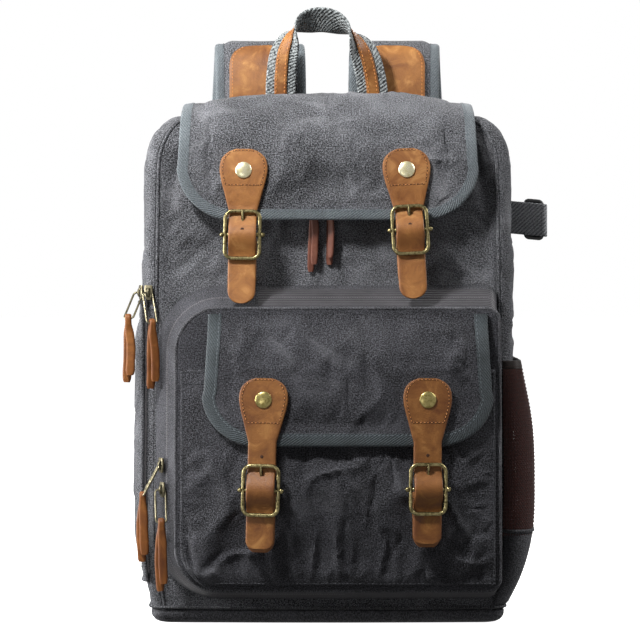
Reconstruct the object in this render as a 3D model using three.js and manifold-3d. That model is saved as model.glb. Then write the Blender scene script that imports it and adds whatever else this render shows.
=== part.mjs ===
// A waxed canvas camera backpack with leather belts, brass buckles, a zipped organiser on the front,
// a padded door on one side and a net bottle pocket on the other.
// Millimetres, +Z up. The front faces -Y and the wearer's back faces +Y. The origin is the centre of
// the foot of the base, so the bag stands on Z = 0.
import * as THREE from "three";
import Module from "manifold-3d";
import { mergeVertices } from "three/addons/utils/BufferGeometryUtils.js";

const wasm = await Module();
wasm.setup();

// Clearance between pieces that are sewn or riveted together
const GAP = 0.4;

// Main body
const BODY_WIDTH = 308;
const BODY_HEIGHT = 416;
const BODY_FRONT = 50;
const BODY_BACK = 66;
const BODY_WALL = 5;
const BACK_PAD = 12;
const TOP_WALL = 3;
const TOP_CROWN = 1.5;
const CORNER_RADIUS = 12;
const SHOULDER_HEIGHT = 45;
const SHOULDER_WIDTH = 28;
const SHOULDER_DEPTH = 12;
const FRONT_CROWN_DEPTH = 3;
const SIDE_CROWN = 2;
const BASE_HEIGHT = 11;
const BASE_ROUND = 9;

// Organiser on the front, with the zipper round its left side. Its edges are given at the face and,
// by the spread, where the gusset meets the body.
const ORGANISER_LEFT = -121;
const ORGANISER_RIGHT = 137;
const ORGANISER_BOTTOM = 33;
const ORGANISER_TOP = 257;
const ORGANISER_DEPTH = 36;
const ORGANISER_BULGE = 4;
const ORGANISER_WALL = 3;
const ORGANISER_ROUND = 34;
const ORGANISER_HINGE_ROUND = 9;
const GUSSET_SPREAD = 19;
const GUSSET_HINGE_SPREAD = 1;
const GUSSET_FOOT_SPREAD = 12;
const GUSSET_STAND = 1.1;

// Patch pocket on the organiser
const POCKET_TOP = 209;
const POCKET_BOTTOM = 37;
const POCKET_MARGIN = 3;
const POCKET_DEPTH = 9;
const POCKET_WALL = 2;

// Flaps and their bindings
const FLAP_WALL = 2.5;
const BINDING_WIDTH = 11;
const BINDING_WALL = 3.5;
const TOP_FLAP_WIDTH = 246;
const TOP_FLAP_NECK = 240;
const TOP_FLAP_HEM = 329;
const TOP_FLAP_RISE = 17;
const TOP_FLAP_STAND = 17;
const TOP_FLAP_ROUND = 46;
const TOP_FLAP_DROOP = 7;
const TOP_FLAP_BACK_EDGE = 50;
const FRONT_FLAP_WIDTH = 233;
const FRONT_FLAP_CENTRE = 16;
const FRONT_FLAP_NECK = 224;
const FRONT_FLAP_HEM = 149;
const FRONT_FLAP_ROUND = 44;
const FRONT_FLAP_CLEARANCE = 2.2;
const FRONT_FLAP_SPRING_DEPTH = 3;

// Leather belts and brass buckles
const BELT_WIDTH = 24;
const BELT_WALL = 2.4;
const BELT_TAB_WIDTH = 39;
const BELT_TAB_LENGTH = 50;
const BELT_TIP_ROUND = 10;
const CHAPE_WIDTH = 23;
const BUCKLE_HEIGHT = 42;
const BUCKLE_WIDTH = 31;
const BUCKLE_ROUND = 6;
const BUCKLE_WIRE = 3.2;
const BUCKLE_BAR = 2.4;
const BUCKLE_BALL = 4.4;
const PRONG_WIRE = 2.2;
const RIVET_DIAMETER = 13.5;
const RIVET_DOME = 2.2;
const RIVET_FROM_TOP = 17;

// Carrying handle
const HANDLE_SPREAD = 81;
const HANDLE_RISE = 87;
const HANDLE_WEBBING = 26;
const HANDLE_WALL = 2.6;
const HANDLE_LEATHER = 11;
const HANDLE_LEATHER_WALL = 1.6;
const HANDLE_SHIFT = -6;
const HANDLE_SEAT = 4;
const HANDLE_LEAN = 8;
const HANDLE_TILT = 48;

// Shoulder straps
const STRAP_SPACING = 116;
const STRAP_WIDTH = 79;
const STRAP_WALL = 12;
const STRAP_RISE = 68;
const STRAP_REACH = 54;
const STRAP_DROP = 262;
const STRAP_SPLAY = 34;
const PATCH_WIDTH = 54;
const PATCH_WALL = 1.6;
const STRAP_WEBBING = 25;
const STRAP_WEBBING_WALL = 2;
const STRAP_SLIDER_HEIGHT = 24;
const STRAP_SLIDER_WALL = 5;
const ANCHOR_WIDTH = 46;
const ANCHOR_HEIGHT = 42;
const ANCHOR_WALL = 3;

// Lash strap and loop on the right side
const LASH_WIDTH = 27;
const LASH_WALL = 1.8;
const LASH_REACH = 34;
const LASH_FROM_TOP = 83;
const LASH_DEPTH = 8;
const LASH_BAR = 5;
const LOOP_WIDTH = 20;
const LOOP_HEIGHT = 28;
const LOOP_WALL = 2.4;

// Bottle pocket on the right side and padded door on the left side
const BOTTLE_TOP = 215;
const BOTTLE_SEAM = 76;
const BOTTLE_BOTTOM = 16;
const BOTTLE_BULGE = 17;
const NET_WALL = 1.6;
const DOOR_TOP = 262;
const DOOR_BOTTOM = 36;
const DOOR_EDGE = 3;
const DOOR_BULGE = 9;

// Zipper sliders, their wire bails and leather laces
const SLIDER_WIDTH = 8;
const SLIDER_LENGTH = 12;
const SLIDER_WALL = 3.4;
const BAIL_LENGTH = 28;
const BAIL_WIDTH = 10;
const BAIL_ROUND = 1.4;
const BAIL_WIRE = 1.7;
const LACE_WIDTH = 5.2;
const LACE_WALL = 2;
const LACE_LENGTH = 56;

const WAXED_CANVAS = new THREE.MeshStandardMaterial({ color: 0x45464c, roughness: 0.9 });
const BASE_CANVAS = new THREE.MeshStandardMaterial({ color: 0x1e1e21, roughness: 0.85 });
const BINDING_TAPE = new THREE.MeshStandardMaterial({ color: 0x5a646a, roughness: 0.85 });
const ZIPPER_TAPE = new THREE.MeshStandardMaterial({ color: 0x4f4c50, roughness: 0.9 });
const BACK_MESH = new THREE.MeshStandardMaterial({ color: 0x2a2b2e, roughness: 0.95 });
const LEATHER = new THREE.MeshStandardMaterial({ color: 0xa5662f, roughness: 0.6 });
const BRASS = new THREE.MeshStandardMaterial({ color: 0x9a8a52, roughness: 0.35, metalness: 1 });
const WEBBING = new THREE.MeshStandardMaterial({ color: 0x6a6c70, roughness: 0.9 });
const PLASTIC = new THREE.MeshStandardMaterial({ color: 0x151516, roughness: 0.45 });
const NET = new THREE.MeshStandardMaterial({ color: 0x3a1d18, roughness: 0.8 });

const UP = new THREE.Vector3(0, 0, 1);
const RIGHT = new THREE.Vector3(1, 0, 0);

// Body outline. "at" is the share of the height between base and shoulder, the others are shares of
// the body's width, front and back.
const BODY_SECTIONS = [
  { at: 0, width: 0.952, front: 1.1, back: 0.96 },
  { at: 0.08, width: 0.98, front: 1.15, back: 0.99 },
  { at: 0.25, width: 1, front: 1.14, back: 1 },
  { at: 0.45, width: 1, front: 1.08, back: 1 },
  { at: 0.65, width: 1, front: 1.01, back: 1 },
  { at: 0.85, width: 0.997, front: 0.97, back: 1 },
  { at: 1, width: 0.992, front: 0.94, back: 1 },
];

// Belt outline from the top of its tab: shares of the tab's length and width.
const BELT_TAB = [
  { at: 0, width: 0.42 },
  { at: 0.03, width: 0.62 },
  { at: 0.1, width: 0.83 },
  { at: 0.2, width: 0.96 },
  { at: 0.32, width: 1 },
  { at: 0.5, width: 0.93 },
  { at: 0.7, width: 0.79 },
  { at: 0.88, width: 0.67 },
  { at: 1, width: BELT_WIDTH / BELT_TAB_WIDTH },
];

// Where each belt hangs. Across is a share of its flap's half width, at its tab and at its tip. The tab's
// top above the flap's hem, and the tip and the chape's end below the buckle, are shares of the tab's
// length. The buckle's middle lies a share of its height below the hem. Lean is how much the belt's end
// comes forward.
const BELTS = [
  { name: "upper_left", flap: "top", across: -0.553, tip_across: -0.565, tab: 1.14, buckle: 0.298, tip: 1.09,
    chape: 0.93, lean: 0.19 },
  { name: "upper_right", flap: "top", across: 0.512, tip_across: 0.561, tab: 1.15, buckle: 0.202, tip: 1.09,
    chape: 0.93, lean: 0.19 },
  { name: "lower_left", flap: "front", across: -0.571, tip_across: -0.601, tab: 1.08, buckle: 0.81, tip: 0.92,
    chape: 0.98, lean: 0.03 },
  { name: "lower_right", flap: "front", across: 0.541, tip_across: 0.536, tab: 1.08, buckle: 0.786, tip: 0.86,
    chape: 0.92, lean: 0.03 },
];

// Zipper pulls. Across and height are shares of the body's half width and height, of the organiser's
// gusset and height, or a place round the body and sliders' lengths above the side door. The bail leans
// right and forward by shares of its length, and the lace is a share of the laces' length.
const ZIP_PULLS = [
  { name: "top_left", on: "front", across: -0.078, height: 0.892, lean: 0, forward: 0.1, lace: 1 },
  { name: "top_right", on: "front", across: 0.02, height: 0.896, lean: -0.06, forward: 0.1, lace: 0.93 },
  { name: "gusset_upper", on: "gusset", across: 0.39, height: 0.437, lean: -0.47, forward: 0.07, lace: 0.95 },
  { name: "gusset_lower", on: "gusset", across: 0.45, height: 0.35, lean: 0.06, forward: 0.43, lace: 0.98 },
  { name: "door_front", on: "corner", across: -1.3, height: 0.67, lean: 0.17, forward: 0.45, lace: 0.95 },
  { name: "door_back", on: "corner", across: -1.75, height: 0.67, lean: -0.26, forward: 0.62, lace: 0.93 },
];

// How much of its droop the top flap has from hem to back seam
const TOP_FLAP_DROOPS = [
  { at: 0, droop: 0.2 },
  { at: 0.35, droop: 0.35 },
  { at: 0.55, droop: 1 },
  { at: 0.8, droop: 1 },
  { at: 1, droop: 0 },
];

// Shoulder strap from its seat on the back, over the arch and down to its lower end: shares of the
// reach, rise, drop, splay and width.
const STRAP_PATH = [
  { behind: 0, rise: 0, drop: 0.17, splay: 0, width: 1 },
  { behind: 0, rise: 0, drop: 0.02, splay: 0, width: 1 },
  { behind: 0.05, rise: 0.5, drop: 0, splay: 0, width: 1 },
  { behind: 0.2, rise: 0.86, drop: 0, splay: 0.02, width: 1 },
  { behind: 0.48, rise: 1, drop: 0, splay: 0.05, width: 1 },
  { behind: 0.8, rise: 0.84, drop: 0, splay: 0.09, width: 1 },
  { behind: 0.98, rise: 0.42, drop: 0, splay: 0.16, width: 0.99 },
  { behind: 1, rise: 0, drop: 0.08, splay: 0.26, width: 0.97 },
  { behind: 0.93, rise: 0, drop: 0.32, splay: 0.45, width: 0.93 },
  { behind: 0.78, rise: 0, drop: 0.64, splay: 0.72, width: 0.86 },
  { behind: 0.56, rise: 0, drop: 1, splay: 1, width: 0.72 },
];

// Leather patch on the strap, in the strap's own steps: where it starts, and its rounded upper end
const PATCH_FOOT = 2;
const PATCH_ROUND_START = 8;
const PATCH_ROUND = [
  { at: 8.4, width: 0.96 },
  { at: 8.8, width: 0.86 },
  { at: 9.1, width: 0.72 },
  { at: 9.4, width: 0.5 },
];

// Half of the handle from its foot to its crown: shares of the half spread, rise and lean, and how far
// the webbing has turned.
const HANDLE_PATH = [
  { out: 1, rise: 0, lean: 0, turn: 0 },
  { out: 1, rise: 0.22, lean: 0.1, turn: 0.04 },
  { out: 0.99, rise: 0.45, lean: 0.35, turn: 0.14 },
  { out: 0.89, rise: 0.68, lean: 0.65, turn: 0.34 },
  { out: 0.66, rise: 0.86, lean: 0.86, turn: 0.58 },
  { out: 0.36, rise: 0.96, lean: 0.96, turn: 0.82 },
  { out: 0, rise: 1, lean: 1, turn: 1 },
];

// Bottle pocket's fullness up its height: shares of the height and of the bulge.
const BOTTLE_SECTIONS = [
  { at: 0, bulge: 0.02 },
  { at: 0.12, bulge: 0.5 },
  { at: 0.3, bulge: 0.95 },
  { at: 0.5, bulge: 1 },
  { at: 0.75, bulge: 0.92 },
  { at: 0.92, bulge: 0.68 },
  { at: 1, bulge: 0.56 },
];

const part = new THREE.Group();

function add(name, geometry, material, parent = part) {
  const mesh = new THREE.Mesh(geometry, material);
  mesh.name = name;
  parent.add(mesh);
  return mesh;
}

const clamp = THREE.MathUtils.clamp;
const lerp = THREE.MathUtils.lerp;
const smooth = (t) => THREE.MathUtils.smoothstep(t, 0, 1);
const steps = (count) => Array.from({ length: count + 1 }, (_, i) => i / count);
const between = (low, high, count) => steps(count).map((t) => lerp(low, high, t));

// Value of a column of a table at a place along its "at" column
function sample(table, column, at) {
  const next = table.findIndex((row) => row.at >= at);
  if (next === 0) return table[0][column];
  if (next < 0) return table[table.length - 1][column];
  const low = table[next - 1];
  const high = table[next];
  return lerp(low[column], high[column], (at - low.at) / (high.at - low.at));
}

// A geometry from points and triangles, turned so that its faces point out
function geometryOf(points, triangles) {
  const volume = triangles.reduce((sum, [a, b, c]) => {
    const cross = new THREE.Vector3().crossVectors(points[b], points[c]);
    return sum + points[a].dot(cross);
  }, 0);
  const facing = volume < 0 ? triangles.map(([a, b, c]) => [a, c, b]) : triangles;
  const geometry = new THREE.BufferGeometry().setFromPoints(points);
  geometry.setIndex(facing.flat());
  return geometry;
}

// A closed body through rings of points, each with the same count. Looped rings need no end caps.
function loft(rings, looped = false) {
  const count = rings[0].length;
  const points = rings.flat();
  const triangles = [];
  const last = looped ? rings.length : rings.length - 1;
  for (let i = 0; i < last; i++) {
    const here = i * count;
    const there = ((i + 1) % rings.length) * count;
    for (let j = 0; j < count; j++) {
      const k = (j + 1) % count;
      triangles.push([here + j, there + j, there + k], [here + j, there + k, here + k]);
    }
  }
  if (!looped) {
    const end = (rings.length - 1) * count;
    for (const [a, b, c] of capOf(rings[0])) triangles.push([a, b, c]);
    for (const [a, b, c] of capOf(rings[rings.length - 1])) triangles.push([end + a, end + c, end + b]);
  }
  return geometryOf(points, triangles);
}

// Triangles that fill one flat ring, wound against the loft's sides
function capOf(ring) {
  const centre = ring.reduce((sum, p) => sum.add(p), new THREE.Vector3()).divideScalar(ring.length);
  const normal = new THREE.Vector3();
  ring.forEach((p, i) => {
    const q = ring[(i + 1) % ring.length];
    normal.add(new THREE.Vector3().crossVectors(p.clone().sub(centre), q.clone().sub(centre)));
  });
  normal.normalize();
  const u = ring[1].clone().sub(ring[0]).normalize();
  const v = new THREE.Vector3().crossVectors(normal, u);
  const flat = ring.map((p) => new THREE.Vector2(p.clone().sub(centre).dot(u), p.clone().sub(centre).dot(v)));
  return THREE.ShapeUtils.triangulateShape(flat, []);
}

// A closed wall between two grids of points, given as rows
function wallBetween(outer, inner) {
  const rows = outer.length;
  const columns = outer[0].length;
  const points = [...outer.flat(), ...inner.flat()];
  const at = (side, i, j) => (side * rows + i) * columns + j;
  const triangles = [];
  const quad = (a, b, c, d) => triangles.push([a, b, c], [a, c, d]);
  for (let i = 0; i < rows - 1; i++) {
    for (let j = 0; j < columns - 1; j++) {
      quad(at(0, i, j), at(0, i, j + 1), at(0, i + 1, j + 1), at(0, i + 1, j));
      quad(at(1, i, j), at(1, i + 1, j), at(1, i + 1, j + 1), at(1, i, j + 1));
    }
  }
  for (let i = 0; i < rows - 1; i++) {
    quad(at(0, i, 0), at(0, i + 1, 0), at(1, i + 1, 0), at(1, i, 0));
    quad(at(0, i, columns - 1), at(1, i, columns - 1), at(1, i + 1, columns - 1), at(0, i + 1, columns - 1));
  }
  for (let j = 0; j < columns - 1; j++) {
    quad(at(0, 0, j), at(1, 0, j), at(1, 0, j + 1), at(0, 0, j + 1));
    quad(at(0, rows - 1, j), at(0, rows - 1, j + 1), at(1, rows - 1, j + 1), at(1, rows - 1, j));
  }
  return geometryOf(points, triangles);
}

// Outward direction of a surface whose first parameter runs right and whose second runs up
function outwardOf(surface, u, v) {
  const step = 1e-3;
  const along = surface(u + step, v).sub(surface(u - step, v));
  const rise = surface(u, v + step).sub(surface(u, v - step));
  return along.cross(rise).normalize();
}

// A wall on a surface: lift and depth tell how far its outer face stands out and its inner face lies in
function wallOn(surface, us, vs, lift, depth) {
  const layer = (offset) => vs.map((v) => us.map((u) => {
    const amount = typeof offset === "function" ? offset(u, v) : offset;
    return surface(u, v).addScaledVector(outwardOf(surface, u, v), amount);
  }));
  return wallBetween(layer(lift), layer(depth));
}

// A four-cornered section for a strap: across is its width's direction and face its thickness's
function strapRing(centre, across, face, width, wall) {
  const corners = [[-1, -1], [1, -1], [1, 1], [-1, 1]];
  return corners.map(([a, b]) => centre.clone()
    .addScaledVector(across, (a * width) / 2)
    .addScaledVector(face, (b * wall) / 2));
}

// A closed geometry as a solid for joining
function solidOf(geometry) {
  const bare = geometry.clone();
  bare.deleteAttribute("normal");
  bare.deleteAttribute("uv");
  const merged = mergeVertices(bare, 1e-4);
  return new wasm.Manifold(new wasm.Mesh({
    numProp: 3,
    vertProperties: merged.attributes.position.array,
    triVerts: new Uint32Array(merged.index.array),
  }));
}

function geometryFrom(solid) {
  const mesh = solid.getMesh();
  const geometry = new THREE.BufferGeometry();
  geometry.setAttribute("position", new THREE.BufferAttribute(mesh.vertProperties, 3));
  geometry.setIndex(new THREE.BufferAttribute(mesh.triVerts, 1));
  return geometry;
}

const joined = (geometries) => geometryFrom(geometries.map(solidOf).reduce((sum, solid) => sum.add(solid)));
const cut = (geometry, tool) => geometryFrom(solidOf(geometry).subtract(solidOf(tool)));

// A wire of round section along points, looped or with flat ends. Normal is square to the wire's plane.
function wire(points, diameter, sides, normal, looped = false) {
  const rings = points.map((p, i) => {
    const before = points[looped ? (i + points.length - 1) % points.length : Math.max(i - 1, 0)];
    const after = points[looped ? (i + 1) % points.length : Math.min(i + 1, points.length - 1)];
    const tangent = after.clone().sub(before).normalize();
    const side = new THREE.Vector3().crossVectors(tangent, normal).normalize();
    return steps(sides).slice(0, sides).map((t) => p.clone()
      .addScaledVector(side, (Math.cos(t * 2 * Math.PI) * diameter) / 2)
      .addScaledVector(normal, (Math.sin(t * 2 * Math.PI) * diameter) / 2));
  });
  return loft(rings, looped);
}

// Points round a rounded rectangle, anticlockwise from its lower left corner
function roundedOutline({ left, right, bottom, top, rounds, lineSteps, arcSteps }) {
  const corners = [
    { x: left, y: bottom, sx: 1, sy: 1, start: Math.PI },
    { x: right, y: bottom, sx: -1, sy: 1, start: 1.5 * Math.PI },
    { x: right, y: top, sx: -1, sy: -1, start: 0 },
    { x: left, y: top, sx: 1, sy: -1, start: 0.5 * Math.PI },
  ];
  const arcs = corners.map((corner, i) => {
    const round = rounds[i];
    return steps(arcSteps).map((t) => new THREE.Vector2(
      corner.x + corner.sx * round + round * Math.cos(corner.start + (t * Math.PI) / 2),
      corner.y + corner.sy * round + round * Math.sin(corner.start + (t * Math.PI) / 2),
    ));
  });
  return arcs.flatMap((arc, i) => {
    const end = arc[arc.length - 1];
    const next = arcs[(i + 1) % arcs.length][0];
    const line = steps(lineSteps).slice(1, -1).map((t) => end.clone().lerp(next, t));
    return [...arc, ...line];
  });
}

// Body surface

const SHOULDER_START = BODY_HEIGHT - SHOULDER_HEIGHT;

// Section of the body: 0 to 1 is the upright part above the base, 1 to 2 the rounded shoulder
function bodySection(v) {
  const at = clamp(v, -0.2, 1);
  const angle = (Math.max(v - 1, 0) * Math.PI) / 2;
  const turn = 1 - Math.cos(angle);
  return {
    z: v <= 1 ? lerp(BASE_HEIGHT + GAP, SHOULDER_START, at) : SHOULDER_START + SHOULDER_HEIGHT * Math.sin(angle),
    half: (BODY_WIDTH / 2) * sample(BODY_SECTIONS, "width", at) - SHOULDER_WIDTH * turn,
    front: BODY_FRONT * sample(BODY_SECTIONS, "front", at) - SHOULDER_DEPTH * turn,
    back: BODY_BACK * sample(BODY_SECTIONS, "back", at) - SHOULDER_DEPTH * turn,
    crown: Math.cos(angle),
  };
}

// The section's place for a height, and the same where the height may be on the shoulder
const heightShare = (z) => (z - BASE_HEIGHT - GAP) / (SHOULDER_START - BASE_HEIGHT - GAP);
const shareAt = (z) => (z <= SHOULDER_START
  ? heightShare(z)
  : 1 + (2 / Math.PI) * Math.asin((z - SHOULDER_START) / SHOULDER_HEIGHT));

// Point on the body. p runs round from the front's middle: 1 and 2 bound the front corner, 2 and 3 the
// side, 3 and 4 the back corner, and 5 is the back's middle. Minus p is the left half.
function bodyPoint(p, v) {
  const mirrored = p < 0 || p > 5;
  const q = p > 5 ? 10 - p : Math.abs(p);
  const s = bodySection(v);
  const flat = s.half - CORNER_RADIUS;
  let x;
  let y;
  if (q <= 1) {
    x = flat * q;
    y = -s.front - FRONT_CROWN_DEPTH * s.crown * (1 - q * q);
  } else if (q <= 2) {
    const a = ((q - 1) * Math.PI) / 2;
    x = flat + CORNER_RADIUS * Math.sin(a);
    y = -s.front + CORNER_RADIUS * (1 - Math.cos(a));
  } else if (q <= 3) {
    x = s.half + SIDE_CROWN * s.crown * Math.sin((q - 2) * Math.PI);
    y = lerp(-s.front + CORNER_RADIUS, s.back - CORNER_RADIUS, q - 2);
  } else if (q <= 4) {
    const a = ((q - 3) * Math.PI) / 2;
    x = flat + CORNER_RADIUS * Math.cos(a);
    y = s.back - CORNER_RADIUS * (1 - Math.sin(a));
  } else {
    x = flat * (5 - q);
    y = s.back;
  }
  return new THREE.Vector3(mirrored ? -x : x, y, s.z);
}

// Even rows for a piece that lies on the body, moved to the body's own sections where one is near
function rowsOnBody(low, high, count) {
  const rows = between(heightShare(low), heightShare(high), count);
  const marks = BODY_SECTIONS.map((row) => row.at).filter((at) => at > rows[0] && at < rows[count]);
  for (const mark of marks) {
    const inner = rows.slice(1, -1).map((v) => Math.abs(v - mark));
    rows[1 + inner.indexOf(Math.min(...inner))] = mark;
  }
  return rows;
}

// How far the body's front stands forward at a place
function bodyFrontAt(x, z) {
  const s = bodySection(heightShare(z));
  const q = clamp(x / (s.half - CORNER_RADIUS), -1, 1);
  return s.front + FRONT_CROWN_DEPTH * s.crown * (1 - q * q);
}

function bodyPanels() {
  const rows = [...BODY_SECTIONS.map((row) => row.at), ...between(1, 2, 4).slice(1)];
  const seam = GAP / (BODY_WIDTH / 2 - CORNER_RADIUS);
  const frontColumns = between(-1 + seam, 1 - seam, 6);
  const sideColumns = [1, 1.33, 1.67, 2, 2.33, 2.67, 3, 3.33, 3.67, 4];
  const mirrored = sideColumns.map((p) => -p).reverse();
  add("front_panel", wallOn(bodyPoint, frontColumns, rows, 0, -BODY_WALL), WAXED_CANVAS);
  add("side_panel_right", wallOn(bodyPoint, sideColumns, rows, 0, -BODY_WALL), WAXED_CANVAS);
  add("side_panel_left", wallOn(bodyPoint, mirrored, rows, 0, -BODY_WALL), WAXED_CANVAS);
  const backSeam = 4 * seam;
  add("back_panel", wallOn(bodyPoint, between(4 + backSeam, 6 - backSeam, 4), rows, 0, -BACK_PAD), BACK_MESH);
}

function topPanel() {
  const rim = bodySection(2);
  const seam = 2 * GAP;
  const half = rim.half - seam;
  const front = -rim.front + seam;
  const back = rim.back - seam;
  const surface = (u, v) => {
    const shrink = CORNER_RADIUS * (1 - Math.sqrt(Math.max(1 - v ** 8, 0)));
    const z = BODY_HEIGHT + TOP_CROWN * (1 - u * u) * (1 - v * v);
    return new THREE.Vector3(u * (half - shrink), lerp(front, back, (v + 1) / 2), z);
  };
  const grid = (drop) => between(-1, 1, 4).map((v) => between(-1, 1, 4).map((u) => {
    const p = surface(u, v);
    return p.setZ(p.z - drop);
  }));
  add("top_panel", wallBetween(grid(0), grid(TOP_WALL)), WAXED_CANVAS);
}

// Padded base with rounded edges, which the bag stands on
function basePanel() {
  const s = bodySection(0);
  const ring = (inset, z) => between(-5, 5, 34).slice(0, -1).map((p) => {
    const at = bodyPoint(p, 0);
    return new THREE.Vector3(at.x * (1 - inset / s.half), at.y * (1 - inset / s.front), z);
  });
  const rings = between(0, 1, 3).map((t) => {
    const a = (t * Math.PI) / 2;
    return ring(BASE_ROUND * (1 - Math.sin(a)), BASE_ROUND * (1 - Math.cos(a)));
  });
  add("base_panel", loft([...rings, ring(0, BASE_HEIGHT)]), BASE_CANVAS);
}

// Organiser

// How far the organiser's face stands forward of the origin at a place
function faceAt(x, z) {
  const across = (2 * x - ORGANISER_LEFT - ORGANISER_RIGHT) / (ORGANISER_RIGHT - ORGANISER_LEFT);
  const up = (2 * z - ORGANISER_BOTTOM - ORGANISER_TOP) / (ORGANISER_TOP - ORGANISER_BOTTOM);
  const bulge = ORGANISER_BULGE * Math.max(1 - across ** 2, 0) * Math.max(1 - up ** 2, 0);
  return bodySection(heightShare(z)).front + ORGANISER_DEPTH + bulge;
}

// Outline of the organiser, grown by a share of the gusset's spread and drawn in by an inset
function organiserOutline(spread, inset) {
  const round = ORGANISER_ROUND + GUSSET_SPREAD * spread - inset;
  const hingeRound = ORGANISER_HINGE_ROUND - inset;
  return roundedOutline({
    left: ORGANISER_LEFT - GUSSET_SPREAD * spread + inset,
    right: ORGANISER_RIGHT + GUSSET_HINGE_SPREAD * spread - inset,
    bottom: ORGANISER_BOTTOM - GUSSET_FOOT_SPREAD * spread + inset,
    top: ORGANISER_TOP + GUSSET_SPREAD * spread - inset,
    rounds: [round, hingeRound, hingeRound, round],
    lineSteps: 4,
    arcSteps: 5,
  });
}

function organiserGusset() {
  const foot = (p) => new THREE.Vector3(p.x, -bodyFrontAt(p.x, p.y) - GUSSET_STAND, p.y);
  const lip = (p) => new THREE.Vector3(p.x, -faceAt(p.x, p.y) + ORGANISER_WALL + GAP, p.y);
  const feet = organiserOutline(1, 0).map(foot);
  const lips = organiserOutline(0, 0).map(lip);
  const innerLips = organiserOutline(0, ORGANISER_WALL).map(lip);
  const innerFeet = organiserOutline(1, ORGANISER_WALL).map(foot);
  const rings = feet.map((p, i) => [p, lips[i], innerLips[i], innerFeet[i]]);
  add("organiser_gusset", loft(rings, true), ZIPPER_TAPE);
}

function organiserFace() {
  const outline = organiserOutline(0, 0);
  const centre = new THREE.Vector2(
    (ORGANISER_LEFT + ORGANISER_RIGHT) / 2,
    (ORGANISER_BOTTOM + ORGANISER_TOP) / 2,
  );
  const ring = (share, depth) => outline.map((p) => {
    const at = centre.clone().lerp(p, share);
    return new THREE.Vector3(at.x, -faceAt(at.x, at.y) + depth, at.y);
  });
  const shares = [0.35, 0.75, 1];
  const front = shares.map((share) => ring(share, 0));
  const back = [...shares].reverse().map((share) => ring(share, ORGANISER_WALL));
  add("organiser_face", loft([...front, ...back]), WAXED_CANVAS);
}

// Left and right edge of the organiser's face at a height, which its rounded corners draw in
function faceEdges(z) {
  const draw = (round) => {
    const into = Math.max(round - Math.min(z - ORGANISER_BOTTOM, ORGANISER_TOP - z), 0);
    return round - Math.sqrt(Math.max(round * round - into * into, 0));
  };
  return { left: ORGANISER_LEFT + draw(ORGANISER_ROUND), right: ORGANISER_RIGHT - draw(ORGANISER_HINGE_ROUND) };
}

// How far the patch pocket stands off the organiser's face
function pocketStand(x, z) {
  const edges = faceEdges(z);
  const across = (2 * x - edges.left - edges.right) / (edges.right - edges.left - 2 * POCKET_MARGIN);
  const up = (z - POCKET_BOTTOM) / (POCKET_TOP - POCKET_BOTTOM);
  const rise = Math.sin((Math.PI / 2) * clamp(up / 0.35, 0, 1));
  return GAP + POCKET_DEPTH * Math.max(1 - across ** 4, 0) * rise;
}

function frontPocket() {
  const heights = [0, 0.08, 0.18, 0.35, 0.6, 0.8, 1].map((t) => lerp(POCKET_BOTTOM, POCKET_TOP, t));
  const grid = (wall) => heights.map((z) => {
    const edges = faceEdges(z);
    return between(edges.left + POCKET_MARGIN, edges.right - POCKET_MARGIN, 8).map((x) =>
      new THREE.Vector3(x, -faceAt(x, z) - pocketStand(x, z) - wall, z));
  });
  add("front_pocket", wallBetween(grid(POCKET_WALL), grid(0)), WAXED_CANVAS);
}

// Flaps. A flap is a sheet over (across, up): across in mm from its middle, up from 0 at the hem to 1.

// Side and back profile of the top flap, from the hem up the front and over the top
const TOP_FLAP_PROFILE = new THREE.CatmullRomCurve3([
  { stand: 1, z: TOP_FLAP_HEM },
  { stand: 0.94, z: lerp(TOP_FLAP_HEM, BODY_HEIGHT, 0.25) },
  { stand: 0.8, z: lerp(TOP_FLAP_HEM, BODY_HEIGHT, 0.5) },
  { stand: 0.5, z: lerp(TOP_FLAP_HEM, BODY_HEIGHT, 0.78) },
  { stand: -0.12, z: BODY_HEIGHT + 0.12 * TOP_FLAP_RISE },
].map((row) => new THREE.Vector3(0, -BODY_FRONT - TOP_FLAP_STAND * row.stand, row.z)).concat([
  new THREE.Vector3(0, -0.5 * BODY_FRONT, BODY_HEIGHT + 0.82 * TOP_FLAP_RISE),
  new THREE.Vector3(0, 0.1 * BODY_BACK, BODY_HEIGHT + TOP_FLAP_RISE),
  new THREE.Vector3(0, 0.55 * TOP_FLAP_BACK_EDGE, BODY_HEIGHT + 0.72 * TOP_FLAP_RISE),
  new THREE.Vector3(0, TOP_FLAP_BACK_EDGE, BODY_HEIGHT + BINDING_WALL / 2 + 1.5 * GAP),
]), false, "centripetal");

function topFlapHalf(up) {
  return lerp(TOP_FLAP_WIDTH, TOP_FLAP_NECK, smooth(up / 0.6)) / 2;
}

function topFlapPoint(x, up) {
  const at = TOP_FLAP_PROFILE.getPointAt(clamp(up, 0, 1));
  const tangent = TOP_FLAP_PROFILE.getTangentAt(clamp(up, 0, 1));
  const outward = new THREE.Vector3().crossVectors(RIGHT, tangent);
  const share = Math.abs(x) / (TOP_FLAP_WIDTH / 2);
  const droop = TOP_FLAP_DROOP * sample(TOP_FLAP_DROOPS, "droop", clamp(up, 0, 1));
  return at.setX(x).addScaledVector(outward, -droop * share ** 2.4);
}

const FRONT_FLAP_TOP = ORGANISER_TOP - BINDING_WALL;

function frontFlapHalf(up) {
  return lerp(FRONT_FLAP_WIDTH, FRONT_FLAP_NECK, smooth(up)) / 2;
}

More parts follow.
